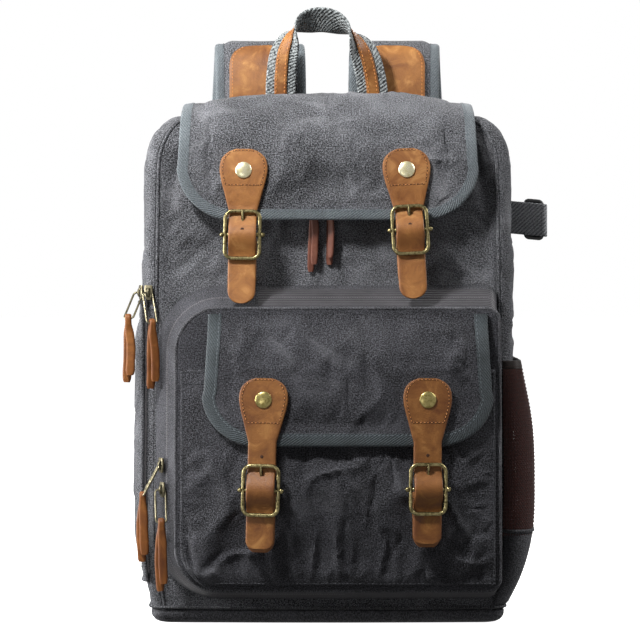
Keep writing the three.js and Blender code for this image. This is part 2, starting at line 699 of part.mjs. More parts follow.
function frontFlapPoint(x, up) {
  const z = lerp(FRONT_FLAP_HEM, FRONT_FLAP_TOP, up);
  const across = x + FRONT_FLAP_CENTRE;
  const reach = 0.75 * (FRONT_FLAP_TOP - POCKET_TOP);
  const full = smooth(clamp((FRONT_FLAP_TOP - z) / reach, 0, 1));
  const pocket = POCKET_WALL + pocketStand(across, Math.min(z, POCKET_TOP));
  const share = Math.abs(x) / (FRONT_FLAP_WIDTH / 2);
  const spring = FRONT_FLAP_SPRING_DEPTH * (1 - share ** 3) * full;
  return new THREE.Vector3(across, -faceAt(across, z) - FRONT_FLAP_CLEARANCE - pocket * full - spring, z);
}

// Length of a flap from hem to seam along its middle
function flapLength(point) {
  const marks = between(0, 1, 40).map((up) => point(0, up));
  return marks.slice(1).reduce((sum, p, i) => sum + p.distanceTo(marks[i]), 0);
}

// Half width of a flap drawn in by an inset, with its hem's rounded corners
function flapEdge(half, round, length, inset, up) {
  const above = up * length - inset;
  const into = Math.max(round - inset - above, 0);
  const draw = round - inset - Math.sqrt(Math.max((round - inset) ** 2 - into ** 2, 0));
  return half(up) - inset - draw;
}

function flap(name, point, half, round) {
  const length = flapLength(point);
  const hem = (BINDING_WIDTH + GAP) / length;
  const corner = round / length;
  const ups = [hem, lerp(hem, corner, 0.12), lerp(hem, corner, 0.35), lerp(hem, corner, 0.65), corner,
    ...between(corner, 1, 9).slice(1)];
  const grid = (offset) => ups.map((up) => {
    const edge = flapEdge(half, round, length, BINDING_WIDTH + GAP, up);
    return between(-edge, edge, 8).map((x) =>
      point(x, up).addScaledVector(outwardOf(point, x, up), offset));
  });
  add(name, wallBetween(grid(FLAP_WALL / 2), grid(-FLAP_WALL / 2)), WAXED_CANVAS);

  // The binding follows the flap's edge from the seam down one side, round the hem and up again.
  const rim = (inset) => {
    const down = between(1, corner, 6);
    const arc = steps(5).slice(1).map((t) => (t * Math.PI) / 2);
    const right = down.map((up) => [half(up) - inset, up]);
    const turned = arc.map((a) => [
      half(0) - round + (round - inset) * Math.cos(a),
      (round - (round - inset) * Math.sin(a)) / length,
    ]);
    const side = [...right, ...turned];
    const hemLine = between(side[side.length - 1][0], -side[side.length - 1][0], 4).slice(1, -1);
    const bottom = hemLine.map((x) => [x, inset / length]);
    return [...side, ...bottom, ...side.map(([x, up]) => [-x, up]).reverse()];
  };
  const outerRim = rim(0);
  const innerRim = rim(BINDING_WIDTH);
  const rings = outerRim.map(([x, up], i) => {
    const [innerX, innerUp] = innerRim[i];
    const outward = outwardOf(point, x, up);
    const innerOutward = outwardOf(point, innerX, innerUp);
    return [
      point(x, up).addScaledVector(outward, BINDING_WALL / 2),
      point(innerX, innerUp).addScaledVector(innerOutward, BINDING_WALL / 2),
      point(innerX, innerUp).addScaledVector(innerOutward, -BINDING_WALL / 2),
      point(x, up).addScaledVector(outward, -BINDING_WALL / 2),
    ];
  });
  add(name + "_binding", loft(rings), BINDING_TAPE);
}

const FLAPS = {
  top: { point: topFlapPoint, centre: 0, half: TOP_FLAP_WIDTH / 2, hem: TOP_FLAP_HEM },
  front: { point: frontFlapPoint, centre: FRONT_FLAP_CENTRE, half: FRONT_FLAP_WIDTH / 2, hem: FRONT_FLAP_HEM },
};

// Belts and buckles

// A belt's row of the table in millimetres
function placed(row) {
  const { centre, half, hem } = FLAPS[row.flap];
  const buckleAt = hem - row.buckle * BUCKLE_HEIGHT;
  return {
    ...row,
    across: centre + row.across * half,
    tip_across: centre + row.tip_across * half,
    tab: hem + row.tab * BELT_TAB_LENGTH,
    buckle: buckleAt,
    tip: buckleAt - row.tip * BELT_TAB_LENGTH,
    chape: buckleAt - row.chape * BELT_TAB_LENGTH,
  };
}

// How far up a flap a height lies
function flapShare(point, x, z) {
  let low = 0;
  let high = 0.75;
  for (let i = 0; i < 30; i++) {
    const middle = (low + high) / 2;
    if (point(x, middle).z < z) low = middle;
    else high = middle;
  }
  return (low + high) / 2;
}

// Height below which a belt hangs free of its flap
const freeBelow = (belt) => Math.max(FLAPS[belt.flap].hem, belt.buckle + BUCKLE_HEIGHT / 2 + 3);

// Middle of the belt at a height, before it weaves through its buckle
function beltLine(belt, z) {
  const { point, centre } = FLAPS[belt.flap];
  const x = lerp(belt.across, belt.tip_across, (belt.tab - z) / (belt.tab - belt.tip));
  const free = freeBelow(belt);
  if (z > free) {
    const up = flapShare(point, x - centre, z);
    const lift = (BINDING_WALL + BELT_WALL) / 2 + GAP;
    return point(x - centre, up).addScaledVector(outwardOf(point, x - centre, up), lift);
  }
  const edge = beltLine(belt, free + 1e-6);
  return new THREE.Vector3(x, edge.y - belt.lean * (free - z), z);
}

const WEAVE = (BUCKLE_WIRE + BELT_WALL) / 2 + 1.5 * GAP;

// How far the belt weaves forward of its line: behind the rails and in front of the centre bar
function weave(belt, z) {
  const share = clamp((2 * Math.abs(z - belt.buckle)) / (BUCKLE_HEIGHT - BUCKLE_WIRE), 0, 1);
  return WEAVE * (1 + Math.cos(Math.PI * share));
}

function beltFrame(belt, z) {
  const { point, centre } = FLAPS[belt.flap];
  const at = (height) => beltLine(belt, height);
  const height = z > freeBelow(belt) ? Math.max(z, freeBelow(belt) + 1) : Math.min(z, freeBelow(belt) - 1);
  const tangent = at(height + 1).sub(at(height - 1)).normalize();
  const middle = at(Math.max(z, freeBelow(belt))).x - centre;
  const up = flapShare(point, middle, Math.max(z, freeBelow(belt)));
  const slope = point(middle + 1, up).sub(point(middle - 1, up));
  const across = slope.addScaledVector(tangent, -slope.dot(tangent)).normalize();
  return { centre: at(z), across, outward: new THREE.Vector3().crossVectors(across, tangent), tangent };
}

function beltPiece(belt) {
  const tab = BELT_TAB.map((row) => ({
    z: belt.tab - row.at * BELT_TAB_LENGTH,
    width: row.width * BELT_TAB_WIDTH,
  }));
  const straightEnd = belt.tip + BELT_TIP_ROUND;
  const straight = between(belt.tab - BELT_TAB_LENGTH, straightEnd, 12).slice(1)
    .map((z) => ({ z, width: BELT_WIDTH }));
  const tip = [0.35, 0.65, 0.88, 1].map((t) => ({
    z: straightEnd - t * BELT_TIP_ROUND,
    width: BELT_WIDTH - 2 * BELT_TIP_ROUND * (1 - Math.sqrt(1 - t * t * 0.99)),
  }));
  const rings = [...tab, ...straight, ...tip].map(({ z, width }) => {
    const { centre, across, outward } = beltFrame(belt, z);
    centre.addScaledVector(outward, weave(belt, z));
    return strapRing(centre, across, outward, width, BELT_WALL);
  });
  const hole = prongWire(PRONG_WIRE + 2 * GAP).applyMatrix4(buckleBasis(belt));
  add("belt_" + belt.name, cut(loft(rings), hole), LEATHER);
}

// The chape is the strap that holds the buckle's bar from behind
function chapePiece(belt) {
  const top = belt.buckle - BUCKLE_BAR;
  const bottom = belt.chape;
  const behind = -(BELT_WALL + GAP);
  const rows = [...between(top, bottom + BELT_TIP_ROUND, 5), bottom + 0.35 * BELT_TIP_ROUND, bottom];
  const rings = rows.map((z) => {
    const { centre, across, outward } = beltFrame(belt, z);
    const round = clamp((bottom + BELT_TIP_ROUND - z) / BELT_TIP_ROUND, 0, 1);
    const width = CHAPE_WIDTH - 2 * BELT_TIP_ROUND * (1 - Math.sqrt(1 - round * round * 0.8));
    centre.addScaledVector(outward, behind);
    return strapRing(centre, across, outward, width, BELT_WALL);
  });
  add("chape_" + belt.name, loft(rings), LEATHER);
}

// Buckle in its own frame: x across, y outward, z up, with the ring and the bar in one plane
function buckleGeometry() {
  const halfWidth = (BUCKLE_WIDTH - BUCKLE_WIRE) / 2;
  const halfHeight = (BUCKLE_HEIGHT - BUCKLE_WIRE) / 2;
  const normal = new THREE.Vector3(0, 1, 0);
  const ring = roundedOutline({
    left: -halfWidth, right: halfWidth, bottom: -halfHeight, top: halfHeight,
    rounds: Array(4).fill(BUCKLE_ROUND), lineSteps: 1, arcSteps: 2,
  }).map((p) => new THREE.Vector3(p.x, 0, p.y));
  const ends = [-1, 1].map((side) => new THREE.Vector3(side * halfWidth, 0, 0));
  const balls = ends.map((p) => new THREE.SphereGeometry(BUCKLE_BALL / 2, 6, 5).translate(p.x, p.y, p.z));
  return joined([
    wire(ring, BUCKLE_WIRE, 6, normal, true),
    wire(ends, BUCKLE_BAR, 5, normal),
    ...balls,
    prongWire(PRONG_WIRE),
  ]);
}

// The prong turns on the centre bar, comes through the belt and rests on the top rail.
function prongWire(diameter) {
  const rest = 0.45 * (BUCKLE_WIRE + PRONG_WIRE);
  const bends = [
    { up: 0, out: 0 },
    { up: 0.3, out: -0.3 * WEAVE },
    { up: 0.55, out: -0.25 * WEAVE },
    { up: 0.78, out: 0.4 * WEAVE },
    { up: 1.04, out: rest },
  ];
  const halfHeight = (BUCKLE_HEIGHT - BUCKLE_WIRE) / 2;
  return wire(bends.map(({ up, out }) => new THREE.Vector3(0, out, up * halfHeight)), diameter, 5, RIGHT);
}

function buckleBasis(belt) {
  const { centre, across, outward, tangent } = beltFrame(belt, belt.buckle);
  centre.addScaledVector(outward, WEAVE);
  return new THREE.Matrix4().makeBasis(across.clone().negate(), outward, tangent).setPosition(centre);
}

function bucklePiece(belt, geometry) {
  add("buckle_" + belt.name, geometry.clone().applyMatrix4(buckleBasis(belt)), BRASS);
}

function rivetPiece(belt) {
  const z = belt.tab - RIVET_FROM_TOP;
  const { centre, across, outward, tangent } = beltFrame(belt, z);
  const radius = RIVET_DIAMETER / 2;
  const profile = [
    new THREE.Vector2(0, 0),
    new THREE.Vector2(radius, 0),
    new THREE.Vector2(radius, 0.35 * RIVET_DOME),
    new THREE.Vector2(0.88 * radius, 0.75 * RIVET_DOME),
    new THREE.Vector2(0.5 * radius, RIVET_DOME),
    new THREE.Vector2(0, RIVET_DOME),
  ];
  centre.addScaledVector(outward, BELT_WALL / 2 + GAP);
  const basis = new THREE.Matrix4().makeBasis(across.clone().negate(), outward, tangent).setPosition(centre);
  add("rivet_" + belt.name, new THREE.LatheGeometry(profile, 11).applyMatrix4(basis), BRASS);
}

// Handle

function handleStations() {
  const seat = bodySection(2).back + HANDLE_SEAT - HANDLE_WALL;
  const half = HANDLE_PATH.map((row) => ({ ...row, side: -1 }));
  const whole = [...half, ...half.slice(0, -1).reverse().map((row) => ({ ...row, side: 1 }))];
  const centres = whole.map((row) => new THREE.Vector3(
    HANDLE_SHIFT * row.rise ** 2 + (row.side * row.out * HANDLE_SPREAD) / 2,
    seat - HANDLE_LEAN * row.lean,
    BODY_HEIGHT + GAP + HANDLE_RISE * row.rise,
  ));
  const curve = new THREE.CatmullRomCurve3(centres, false, "centripetal");
  const turns = whole.map((row) => (row.side < 0 ? row.turn : 2 - row.turn) * (Math.PI / 2));
  const tilt = THREE.MathUtils.degToRad(HANDLE_TILT);
  return between(0, 1, 20).map((t) => {
    const place = t * (whole.length - 1);
    const before = Math.min(Math.floor(place), whole.length - 2);
    const turn = lerp(turns[before], turns[before + 1], place - before);
    const tangent = curve.getTangent(t);
    const across = new THREE.Vector3(
      Math.cos(turn),
      -Math.sin(turn) * Math.cos(tilt),
      Math.sin(turn) * Math.sin(tilt),
    );
    across.addScaledVector(tangent, -across.dot(tangent)).normalize();
    return { centre: curve.getPoint(t), across, outward: new THREE.Vector3().crossVectors(across, tangent) };
  });
}

// The webbing has the leather's edges among its own, and the leather's are listed the other way round, so
// that the faces between them are split alike and stay parallel where they twist.
function handle() {
  const stations = handleStations();
  const layer = (halves, wall, lift) => loft(stations.map(({ centre, across, outward }) => {
    const corners = [...halves.map((a) => [a, -wall / 2]), ...[...halves].reverse().map((a) => [a, wall / 2])];
    return corners.map(([a, b]) => centre.clone().addScaledVector(across, a).addScaledVector(outward, b + lift));
  }));
  const half = HANDLE_WEBBING / 2;
  const inner = HANDLE_LEATHER / 2;
  add("handle_webbing", layer([-half, -inner, inner, half], HANDLE_WALL, 0), WEBBING);
  const lift = (HANDLE_WALL + HANDLE_LEATHER_WALL) / 2 + GAP;
  add("handle_leather", layer([inner, -inner], HANDLE_LEATHER_WALL, lift), LEATHER);
}

// Shoulder straps

// Curve, width and frame of one shoulder strap. Side is -1 on the left and 1 on the right.
function strapCurve(side) {
  const seat = BODY_BACK + GAP + STRAP_WALL / 2;
  return new THREE.CatmullRomCurve3(STRAP_PATH.map((row) => new THREE.Vector3(
    side * (STRAP_SPACING / 2 + row.splay * STRAP_SPLAY),
    seat + row.behind * STRAP_REACH,
    BODY_HEIGHT + row.rise * STRAP_RISE - row.drop * STRAP_DROP,
  )), false, "centripetal");
}

function strapStation(curve, t) {
  const tangent = curve.getTangent(t);
  const across = RIGHT.clone().addScaledVector(tangent, -RIGHT.dot(tangent)).normalize();
  const place = t * (STRAP_PATH.length - 1);
  const before = Math.min(Math.floor(place), STRAP_PATH.length - 2);
  const share = lerp(STRAP_PATH[before].width, STRAP_PATH[before + 1].width, place - before);
  return {
    centre: curve.getPoint(t),
    across,
    outward: new THREE.Vector3().crossVectors(across, tangent),
    width: STRAP_WIDTH * share,
  };
}

// Section of a padded strap: flat in the middle and thin at its bound edges
function paddedRing({ centre, across, outward, width }, wall) {
  const shape = [[-0.5, -0.18], [-0.36, -0.5], [0.36, -0.5], [0.5, -0.18], [0.5, 0.18], [0.36, 0.5],
    [-0.36, 0.5], [-0.5, 0.18]];
  return shape.map(([a, b]) => centre.clone()
    .addScaledVector(across, a * width)
    .addScaledVector(outward, b * wall));
}

function shoulderStrap(sideName, side) {
  const curve = strapCurve(side);
  const stations = between(0, 1, 25).map((t) => strapStation(curve, t));
  add("shoulder_strap_" + sideName, loft(stations.map((station) => paddedRing(station, STRAP_WALL))), WAXED_CANVAS);

  // The leather patch covers the rising part of the strap up to the arch.
  const lift = (STRAP_WALL + PATCH_WALL) / 2 + 2 * GAP;
  const patch = [...between(PATCH_FOOT, PATCH_ROUND_START, 6), ...PATCH_ROUND.map((row) => row.at)].map((at) => {
    const low = stations[Math.floor(at)];
    const high = stations[Math.min(Math.floor(at) + 1, stations.length - 1)];
    const raised = [low, high].map(({ centre, outward }) => centre.clone().addScaledVector(outward, lift));
    const centre = raised[0].lerp(raised[1], at % 1);
    const outward = low.outward.clone().lerp(high.outward, at % 1).normalize();
    const width = at <= PATCH_ROUND_START ? PATCH_WIDTH : PATCH_WIDTH * sample(PATCH_ROUND, "width", at);
    return strapRing(centre, low.across, outward, width, PATCH_WALL);
  });
  add("strap_patch_" + sideName, loft(patch), LEATHER);

  // The ladder slider sits at the strap's lower end and the webbing runs on to the anchor.
  const end = strapStation(curve, 1);
  const tangent = curve.getTangent(1);
  const sliderCentre = end.centre.clone().addScaledVector(tangent, STRAP_SLIDER_HEIGHT / 2 + GAP);
  const slider = new THREE.BoxGeometry(STRAP_WEBBING + 2 * STRAP_SLIDER_WALL, STRAP_SLIDER_WALL, STRAP_SLIDER_HEIGHT);
  const basis = new THREE.Matrix4().makeBasis(end.across, end.outward, tangent.clone().negate());
  slider.applyMatrix4(basis.setPosition(sliderCentre));
  add("strap_slider_" + sideName, slider, PLASTIC);

  const anchorFoot = BASE_HEIGHT + 2 * GAP;
  const anchorTop = anchorFoot + ANCHOR_HEIGHT;
  const anchorX = side * (bodySection(0).half - CORNER_RADIUS - ANCHOR_WIDTH / 2);
  const anchorAt = (x, z, wall) => new THREE.Vector3(x, bodySection(heightShare(z)).back + GAP + wall, z);
  const anchorRows = [anchorFoot, bodySection(BODY_SECTIONS[1].at).z, anchorTop];
  const anchorGrid = (wall) => anchorRows.map((z, i) => [-1, 1].map((s) =>
    anchorAt(anchorX + (s * lerp(ANCHOR_WIDTH, STRAP_WEBBING, i / 2)) / 2, z, wall)));
  add("strap_anchor_" + sideName, wallBetween(anchorGrid(ANCHOR_WALL), anchorGrid(0)), WAXED_CANVAS);

  const start = sliderCentre.clone().addScaledVector(tangent, STRAP_SLIDER_HEIGHT / 2 + 4 * GAP);
  const seatWall = ANCHOR_WALL + 4 * GAP + STRAP_WEBBING_WALL / 2;
  const finish = anchorAt(anchorX, lerp(anchorFoot, anchorTop, 0.2), seatWall);
  const seated = anchorAt(anchorX, anchorTop, seatWall + 2.5 * GAP);
  const path = new THREE.CatmullRomCurve3([start, start.clone().lerp(seated, 0.5), seated, finish]);
  const webbing = between(0, 1, 10).map((t) => {
    const along = path.getTangent(t);
    const across = RIGHT.clone().addScaledVector(along, -RIGHT.dot(along)).normalize();
    const outward = new THREE.Vector3().crossVectors(across, along);
    return strapRing(path.getPoint(t), across, outward, STRAP_WEBBING, STRAP_WEBBING_WALL);
  });
  add("strap_webbing_" + sideName, loft(webbing), WEBBING);
}

// Lash strap, its buckle and the loop above it, on the right side

const LASH_HEIGHT = BODY_HEIGHT - LASH_FROM_TOP;

function lashStrap() {
  const root = bodyPoint(2.45, heightShare(LASH_HEIGHT));
  const barX = root.x + LASH_REACH - LASH_BAR / 2 - LASH_WALL - GAP;
  const back = LASH_DEPTH + LASH_BAR + LASH_WALL + 2 * GAP;
  const fold = back / 2 - LASH_DEPTH / 2;
  const folded = [0, 0.25, 0.5, 0.75, 1].map((t) => {
    const a = -Math.PI / 2 + t * Math.PI;
    return new THREE.Vector3(barX + fold * Math.cos(a), LASH_DEPTH + fold + fold * Math.sin(a), LASH_HEIGHT);
  });
  const path = [
    new THREE.Vector3(root.x + GAP, LASH_DEPTH, LASH_HEIGHT),
    new THREE.Vector3(lerp(root.x, barX, 0.5), LASH_DEPTH, LASH_HEIGHT),
    ...folded,
    new THREE.Vector3(lerp(root.x, barX, 0.55), LASH_DEPTH + 2 * fold, LASH_HEIGHT),
  ];
  const rings = path.map((p, i) => {
    const before = path[Math.max(i - 1, 0)];
    const after = path[Math.min(i + 1, path.length - 1)];
    const tangent = after.clone().sub(before).normalize();
    const outward = new THREE.Vector3().crossVectors(UP, tangent);
    return strapRing(p, UP, outward, LASH_WIDTH, LASH_WALL);
  });
  add("lash_strap", loft(rings), WEBBING);

  const middle = LASH_DEPTH + fold;
  const frame = roundedOutline({
    left: lerp(root.x, barX, 0.2), right: barX, bottom: -LASH_WIDTH / 2 - LASH_BAR / 2 - GAP,
    top: LASH_WIDTH / 2 + LASH_BAR / 2 + GAP, rounds: Array(4).fill(LASH_BAR / 2), lineSteps: 1, arcSteps: 2,
  }).map((p) => new THREE.Vector3(p.x, middle, LASH_HEIGHT + p.y));
  add("lash_buckle", wire(frame, LASH_BAR - GAP, 8, new THREE.Vector3(0, 1, 0), true), PLASTIC);
}

function sideLoop() {
  const foot = LASH_HEIGHT + LASH_WIDTH / 2 + LASH_BAR + GAP;
  const depth = bodySection(1).front + bodySection(1).back - 2 * CORNER_RADIUS;
  const half = LOOP_WIDTH / 2 / depth;
  const us = between(2.5 - half, 2.5 + half, 2);
  const vs = between(foot, foot + LOOP_HEIGHT, 2).map(shareAt);
  add("side_loop", wallOn(bodyPoint, us, vs, 2 * GAP + LOOP_WALL, 2 * GAP), PLASTIC);
}

// Bottle pocket and side door

function bottleStand(p, z) {
  const across = clamp((p - BOTTLE_SPAN.start) / (BOTTLE_SPAN.end - BOTTLE_SPAN.start), 0, 1);
  const up = (z - BOTTLE_BOTTOM) / (BOTTLE_TOP - BOTTLE_BOTTOM);
  return GAP + BOTTLE_BULGE * Math.sin(Math.PI * across) ** 0.7 * sample(BOTTLE_SECTIONS, "bulge", up);
}

// The bottle pocket's two upright edges, as places round the body
const BOTTLE_SPAN = { start: 1.15, end: 3.55 };

function bottlePocket() {
  const us = between(BOTTLE_SPAN.start, BOTTLE_SPAN.end, 8);
  const wall = (name, low, high, count, material) => {
    const vs = rowsOnBody(low, high, count);
    const heightOf = (v) => bodySection(v).z;
    add(name, wallOn(bodyPoint, us, vs, (p, v) => bottleStand(p, heightOf(v)) + NET_WALL,
      (p, v) => bottleStand(p, heightOf(v))), material);
  };
  wall("bottle_net", BOTTLE_SEAM + GAP, BOTTLE_TOP, 6, NET);
  wall("bottle_pocket_base", BOTTLE_BOTTOM, BOTTLE_SEAM, 4, BASE_CANVAS);
}

function sideDoor() {
  const us = between(-3.75, -1.55, 8);
  const vs = rowsOnBody(DOOR_BOTTOM, DOOR_TOP, 7);
  const dome = (p, v) => {
    const across = (p - us[0]) / (us[us.length - 1] - us[0]);
    const up = (v - vs[0]) / (vs[vs.length - 1] - vs[0]);
    const full = Math.min(Math.sin(Math.PI * across), 0.8) * Math.min(Math.sin(Math.PI * up), 0.6);
    return GAP + DOOR_EDGE + (DOOR_BULGE * full) / 0.48;
  };
  add("side_door", wallOn(bodyPoint, us, vs, dome, GAP), WAXED_CANVAS);
}

// Zipper pulls: the slider with its wire bail, and the lace that hangs from the bail's foot

// The bail reaches from the slider's bridge to its foot. The lace's loop goes round the foot and its two
// ends hang straight down.
function zipPull({ name, at, facing, drop, length }) {
  const wall = new THREE.Matrix4().makeRotationZ(facing).setPosition(at);
  const slide = new THREE.BoxGeometry(SLIDER_WIDTH, SLIDER_WALL, SLIDER_LENGTH).translate(0, -SLIDER_WALL / 2, 0);
  const bridge = new THREE.Vector3(0, -SLIDER_WALL, 0).applyMatrix4(wall);
  const foot = bridge.clone().add(drop);
  const lateral = new THREE.Vector3().crossVectors(UP, drop).normalize();
  const rise = drop.clone().negate().normalize();
  const normal = new THREE.Vector3().crossVectors(rise, lateral);
  const halfWidth = (BAIL_WIDTH - BAIL_WIRE) / 2;
  const ring = roundedOutline({
    left: -halfWidth, right: halfWidth, bottom: -drop.length(), top: 0,
    rounds: Array(4).fill(BAIL_ROUND), lineSteps: 1, arcSteps: 2,
  }).map((p) => new THREE.Vector3(p.x, 0, p.y));
  const bail = wire(ring, BAIL_WIRE, 5, new THREE.Vector3(0, 1, 0), true);
  bail.applyMatrix4(new THREE.Matrix4().makeBasis(lateral, normal, rise).setPosition(bridge));
  add("slider_" + name, joined([slide.applyMatrix4(wall), bail]), BRASS);

  const lace = laceGeometry(length);
  const forward = new THREE.Vector3().crossVectors(UP, lateral);
  lace.applyMatrix4(new THREE.Matrix4().makeBasis(forward, UP, lateral).setPosition(foot));
  add("lace_" + name, lace, LEATHER);
}

// A lace in its own frame: x through the loop's opening, y up and z along its width
function laceGeometry(length) {
  const outer = LACE_WALL + BAIL_WIRE / 2 + GAP;
  const hole = BAIL_WIRE / 2 + GAP;
  const neck = 4 * outer;
  const shape = new THREE.Shape();
  shape.absarc(0, 0, outer, 0, Math.PI, false);
  shape.lineTo(-LACE_WALL, -neck);
  shape.lineTo(-LACE_WALL * 0.9, -length);
  shape.lineTo(LACE_WALL * 0.9, -length);
  shape.lineTo(LACE_WALL, -neck);
  shape.closePath();
  const opening = new THREE.Path();
  opening.absarc(0, 0, hole, 0, Math.PI, false);
  opening.lineTo(0, -0.8 * neck);
  opening.closePath();
  shape.holes.push(opening);
  const lace = new THREE.ExtrudeGeometry(shape, { depth: LACE_WIDTH, bevelEnabled: false, curveSegments: 4 });
  return lace.translate(0, 0, -LACE_WIDTH / 2);
}

// Point just off the gusset's left slope, and the direction that the slope faces
function gussetLeft(x, z) {
  const share = (x - ORGANISER_LEFT + GUSSET_SPREAD) / GUSSET_SPREAD;
  const foot = bodyFrontAt(x, z) + GUSSET_STAND;
  const lip = faceAt(ORGANISER_LEFT, z) - ORGANISER_WALL - GAP;
  return new THREE.Vector3(x, -lerp(foot, lip, share), z)
    .add(new THREE.Vector3(Math.sin(GUSSET_FACING), -Math.cos(GUSSET_FACING), 0).multiplyScalar(2.3 * GAP));
}

const GUSSET_FACING = -Math.atan2(ORGANISER_DEPTH - ORGANISER_WALL, GUSSET_SPREAD);

function zipPulls() {
  const organiserHeight = ORGANISER_TOP - ORGANISER_BOTTOM;
  const places = {
    front: ({ across, height }) => {
      const z = height * BODY_HEIGHT;
      const x = (across * BODY_WIDTH) / 2;
      return { at: new THREE.Vector3(x, -bodyFrontAt(x, z) - GAP, z), facing: 0 };
    },
    gusset: ({ across, height }) => {
      const x = ORGANISER_LEFT - GUSSET_SPREAD * (1 - across);
      return { at: gussetLeft(x, ORGANISER_BOTTOM + height * organiserHeight), facing: GUSSET_FACING };
    },
    corner: ({ across, height }) => {
      const z = DOOR_TOP + height * SLIDER_LENGTH;
      const outward = outwardOf(bodyPoint, across, heightShare(z));
      const at = bodyPoint(across, heightShare(z)).addScaledVector(outward, 2 * GAP);
      return { at, facing: Math.atan2(outward.x, -outward.y) };
    },
  };
  for (const { name, on, lean, forward, lace, ...where } of ZIP_PULLS) {
    const { at, facing } = places[on](where);
    const fall = Math.sqrt(1 - lean * lean - forward * forward);
    const drop = new THREE.Vector3(lean, -forward, -fall).multiplyScalar(BAIL_LENGTH);
    zipPull({ name, at, facing, drop, length: lace * LACE_LENGTH });
  }
}

bodyPanels();
topPanel();
basePanel();
organiserGusset();
organiserFace();
frontPocket();
flap("top_flap", topFlapPoint, topFlapHalf, TOP_FLAP_ROUND);
flap("front_flap", frontFlapPoint, frontFlapHalf, FRONT_FLAP_ROUND);
const buckle = buckleGeometry();
for (const belt of BELTS.map(placed)) {
  beltPiece(belt);
  chapePiece(belt);
  bucklePiece(belt, buckle);
  rivetPiece(belt);
}
handle();
shoulderStrap("left", -1);
shoulderStrap("right", 1);
lashStrap();
sideLoop();
bottlePocket();
sideDoor();
zipPulls();

export default part;
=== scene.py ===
"""A waxed canvas camera backpack with leather belts and brass buckles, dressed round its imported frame.

Lengths are in millimetres until a mesh is made. +Z is up and the bag's front faces -Y.
"""

import math

import bpy
import numpy as np
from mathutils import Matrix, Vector, noise


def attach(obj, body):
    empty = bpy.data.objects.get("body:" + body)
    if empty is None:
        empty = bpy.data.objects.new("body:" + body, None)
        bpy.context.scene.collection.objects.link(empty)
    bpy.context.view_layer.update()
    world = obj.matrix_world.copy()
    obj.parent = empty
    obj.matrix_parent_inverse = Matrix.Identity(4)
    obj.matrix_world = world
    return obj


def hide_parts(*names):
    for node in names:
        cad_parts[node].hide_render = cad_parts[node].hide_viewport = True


MM = 0.001
PHOTO_WIDTH = 640
LENS_PIXELS = 2262
SENSOR = 36
CAMERA_PLACE = (-0.0063, -1.9, 0.3)
CAMERA_SHIFT = -0.1
LAMP_TARGET = (0, 0, 0.24)

# Cloth simulation. A share of a sheet's broad movement is taken away, so that only its folds stay.
CLOTH_STEPS = 20
CLOTH_STIFFNESS = 8.0
BROAD_MOVE_PASSES = 130
BROAD_MOVE_REMOVED = 0.92

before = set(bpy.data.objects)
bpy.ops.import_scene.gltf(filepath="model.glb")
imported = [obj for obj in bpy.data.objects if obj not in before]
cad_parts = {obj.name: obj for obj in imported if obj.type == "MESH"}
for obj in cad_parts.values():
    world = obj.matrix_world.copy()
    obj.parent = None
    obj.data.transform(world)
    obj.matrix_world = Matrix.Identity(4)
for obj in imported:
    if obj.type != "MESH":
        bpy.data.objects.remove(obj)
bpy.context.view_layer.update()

# Sizes, most of them as in the frame. A few follow the photograph more closely than the frame does.
GAP = 0.4
BODY_WIDTH = 304
BODY_HEIGHT = 416
BODY_FRONT = 50
BODY_BACK = 66
BODY_WALL = 5
BACK_PAD = 12
CORNER_RADIUS = 12
SHOULDER_HEIGHT = 45
SHOULDER_WIDTH = 32
SHOULDER_DEPTH = 12
SHOULDER_START = BODY_HEIGHT - SHOULDER_HEIGHT
FRONT_CROWN = 3
SIDE_CROWN = 0.3
BASE_HEIGHT = 11
BASE_ROUND = 9
ORGANISER = {"left": -121, "right": 137, "bottom": 33, "top": 257}
ORGANISER_DEPTH = 36
ORGANISER_BULGE = 4
ORGANISER_WALL = 3
ORGANISER_ROUND = 34
HINGE_ROUND = 9
GUSSET_SPREAD = 19
GUSSET_HINGE_SPREAD = 1
GUSSET_FOOT_SPREAD = 12
GUSSET_STAND = 1.1
POCKET_TOP = 209
POCKET_BOTTOM = 37
POCKET_MARGIN = 3
POCKET_DEPTH = 9
POCKET_WALL = 2
FLAP_WALL = 2.5
BINDING_WALL = 3.5
TOP_FLAP_WIDTH = 246
TOP_FLAP_NECK = 240
TOP_FLAP_HEM = 329
TOP_FLAP_RISE = 17
TOP_FLAP_STAND = 17
TOP_FLAP_ROUND = 46
TOP_FLAP_DROOP = 7
TOP_FLAP_BACK_EDGE = 50
FRONT_FLAP_WIDTH = 233
FRONT_FLAP_CENTRE = 16
FRONT_FLAP_NECK = 224
FRONT_FLAP_HEM = 149
FRONT_FLAP_TOP = ORGANISER["top"] - BINDING_WALL
FRONT_FLAP_ROUND = 44
FRONT_FLAP_CLEARANCE = 2.2
FRONT_FLAP_SPRING = 3
BELT_WIDTH = 22.5
BELT_WALL = 2.4
TAB_WIDTH = 39
TAB_LENGTH = 50
TIP_ROUND = 10
CHAPE_WIDTH = 23
BUCKLE_HEIGHT = 42
BUCKLE_WIDTH = 31
BUCKLE_ROUND = 6
BUCKLE_WIRE = 3.2
BUCKLE_BAR = 2.4
PRONG_WIRE = 2.2
RIVET_DIAMETER = 13.5
RIVET_DOME = 2.2
RIVET_FROM_TOP = 17
WEAVE = (BUCKLE_WIRE + BELT_WALL) / 2 + 1.5 * GAP
HANDLE_SPREAD = 81
HANDLE_RISE = 87
HANDLE_WEBBING = 26
HANDLE_WALL = 2.6
HANDLE_LEATHER = 11
HANDLE_LEATHER_WALL = 1.6
HANDLE_SHIFT = -6
HANDLE_SEAT = 4
HANDLE_LEAN = 8
HANDLE_TILT = math.radians(48)
STRAP_SPACING = 116
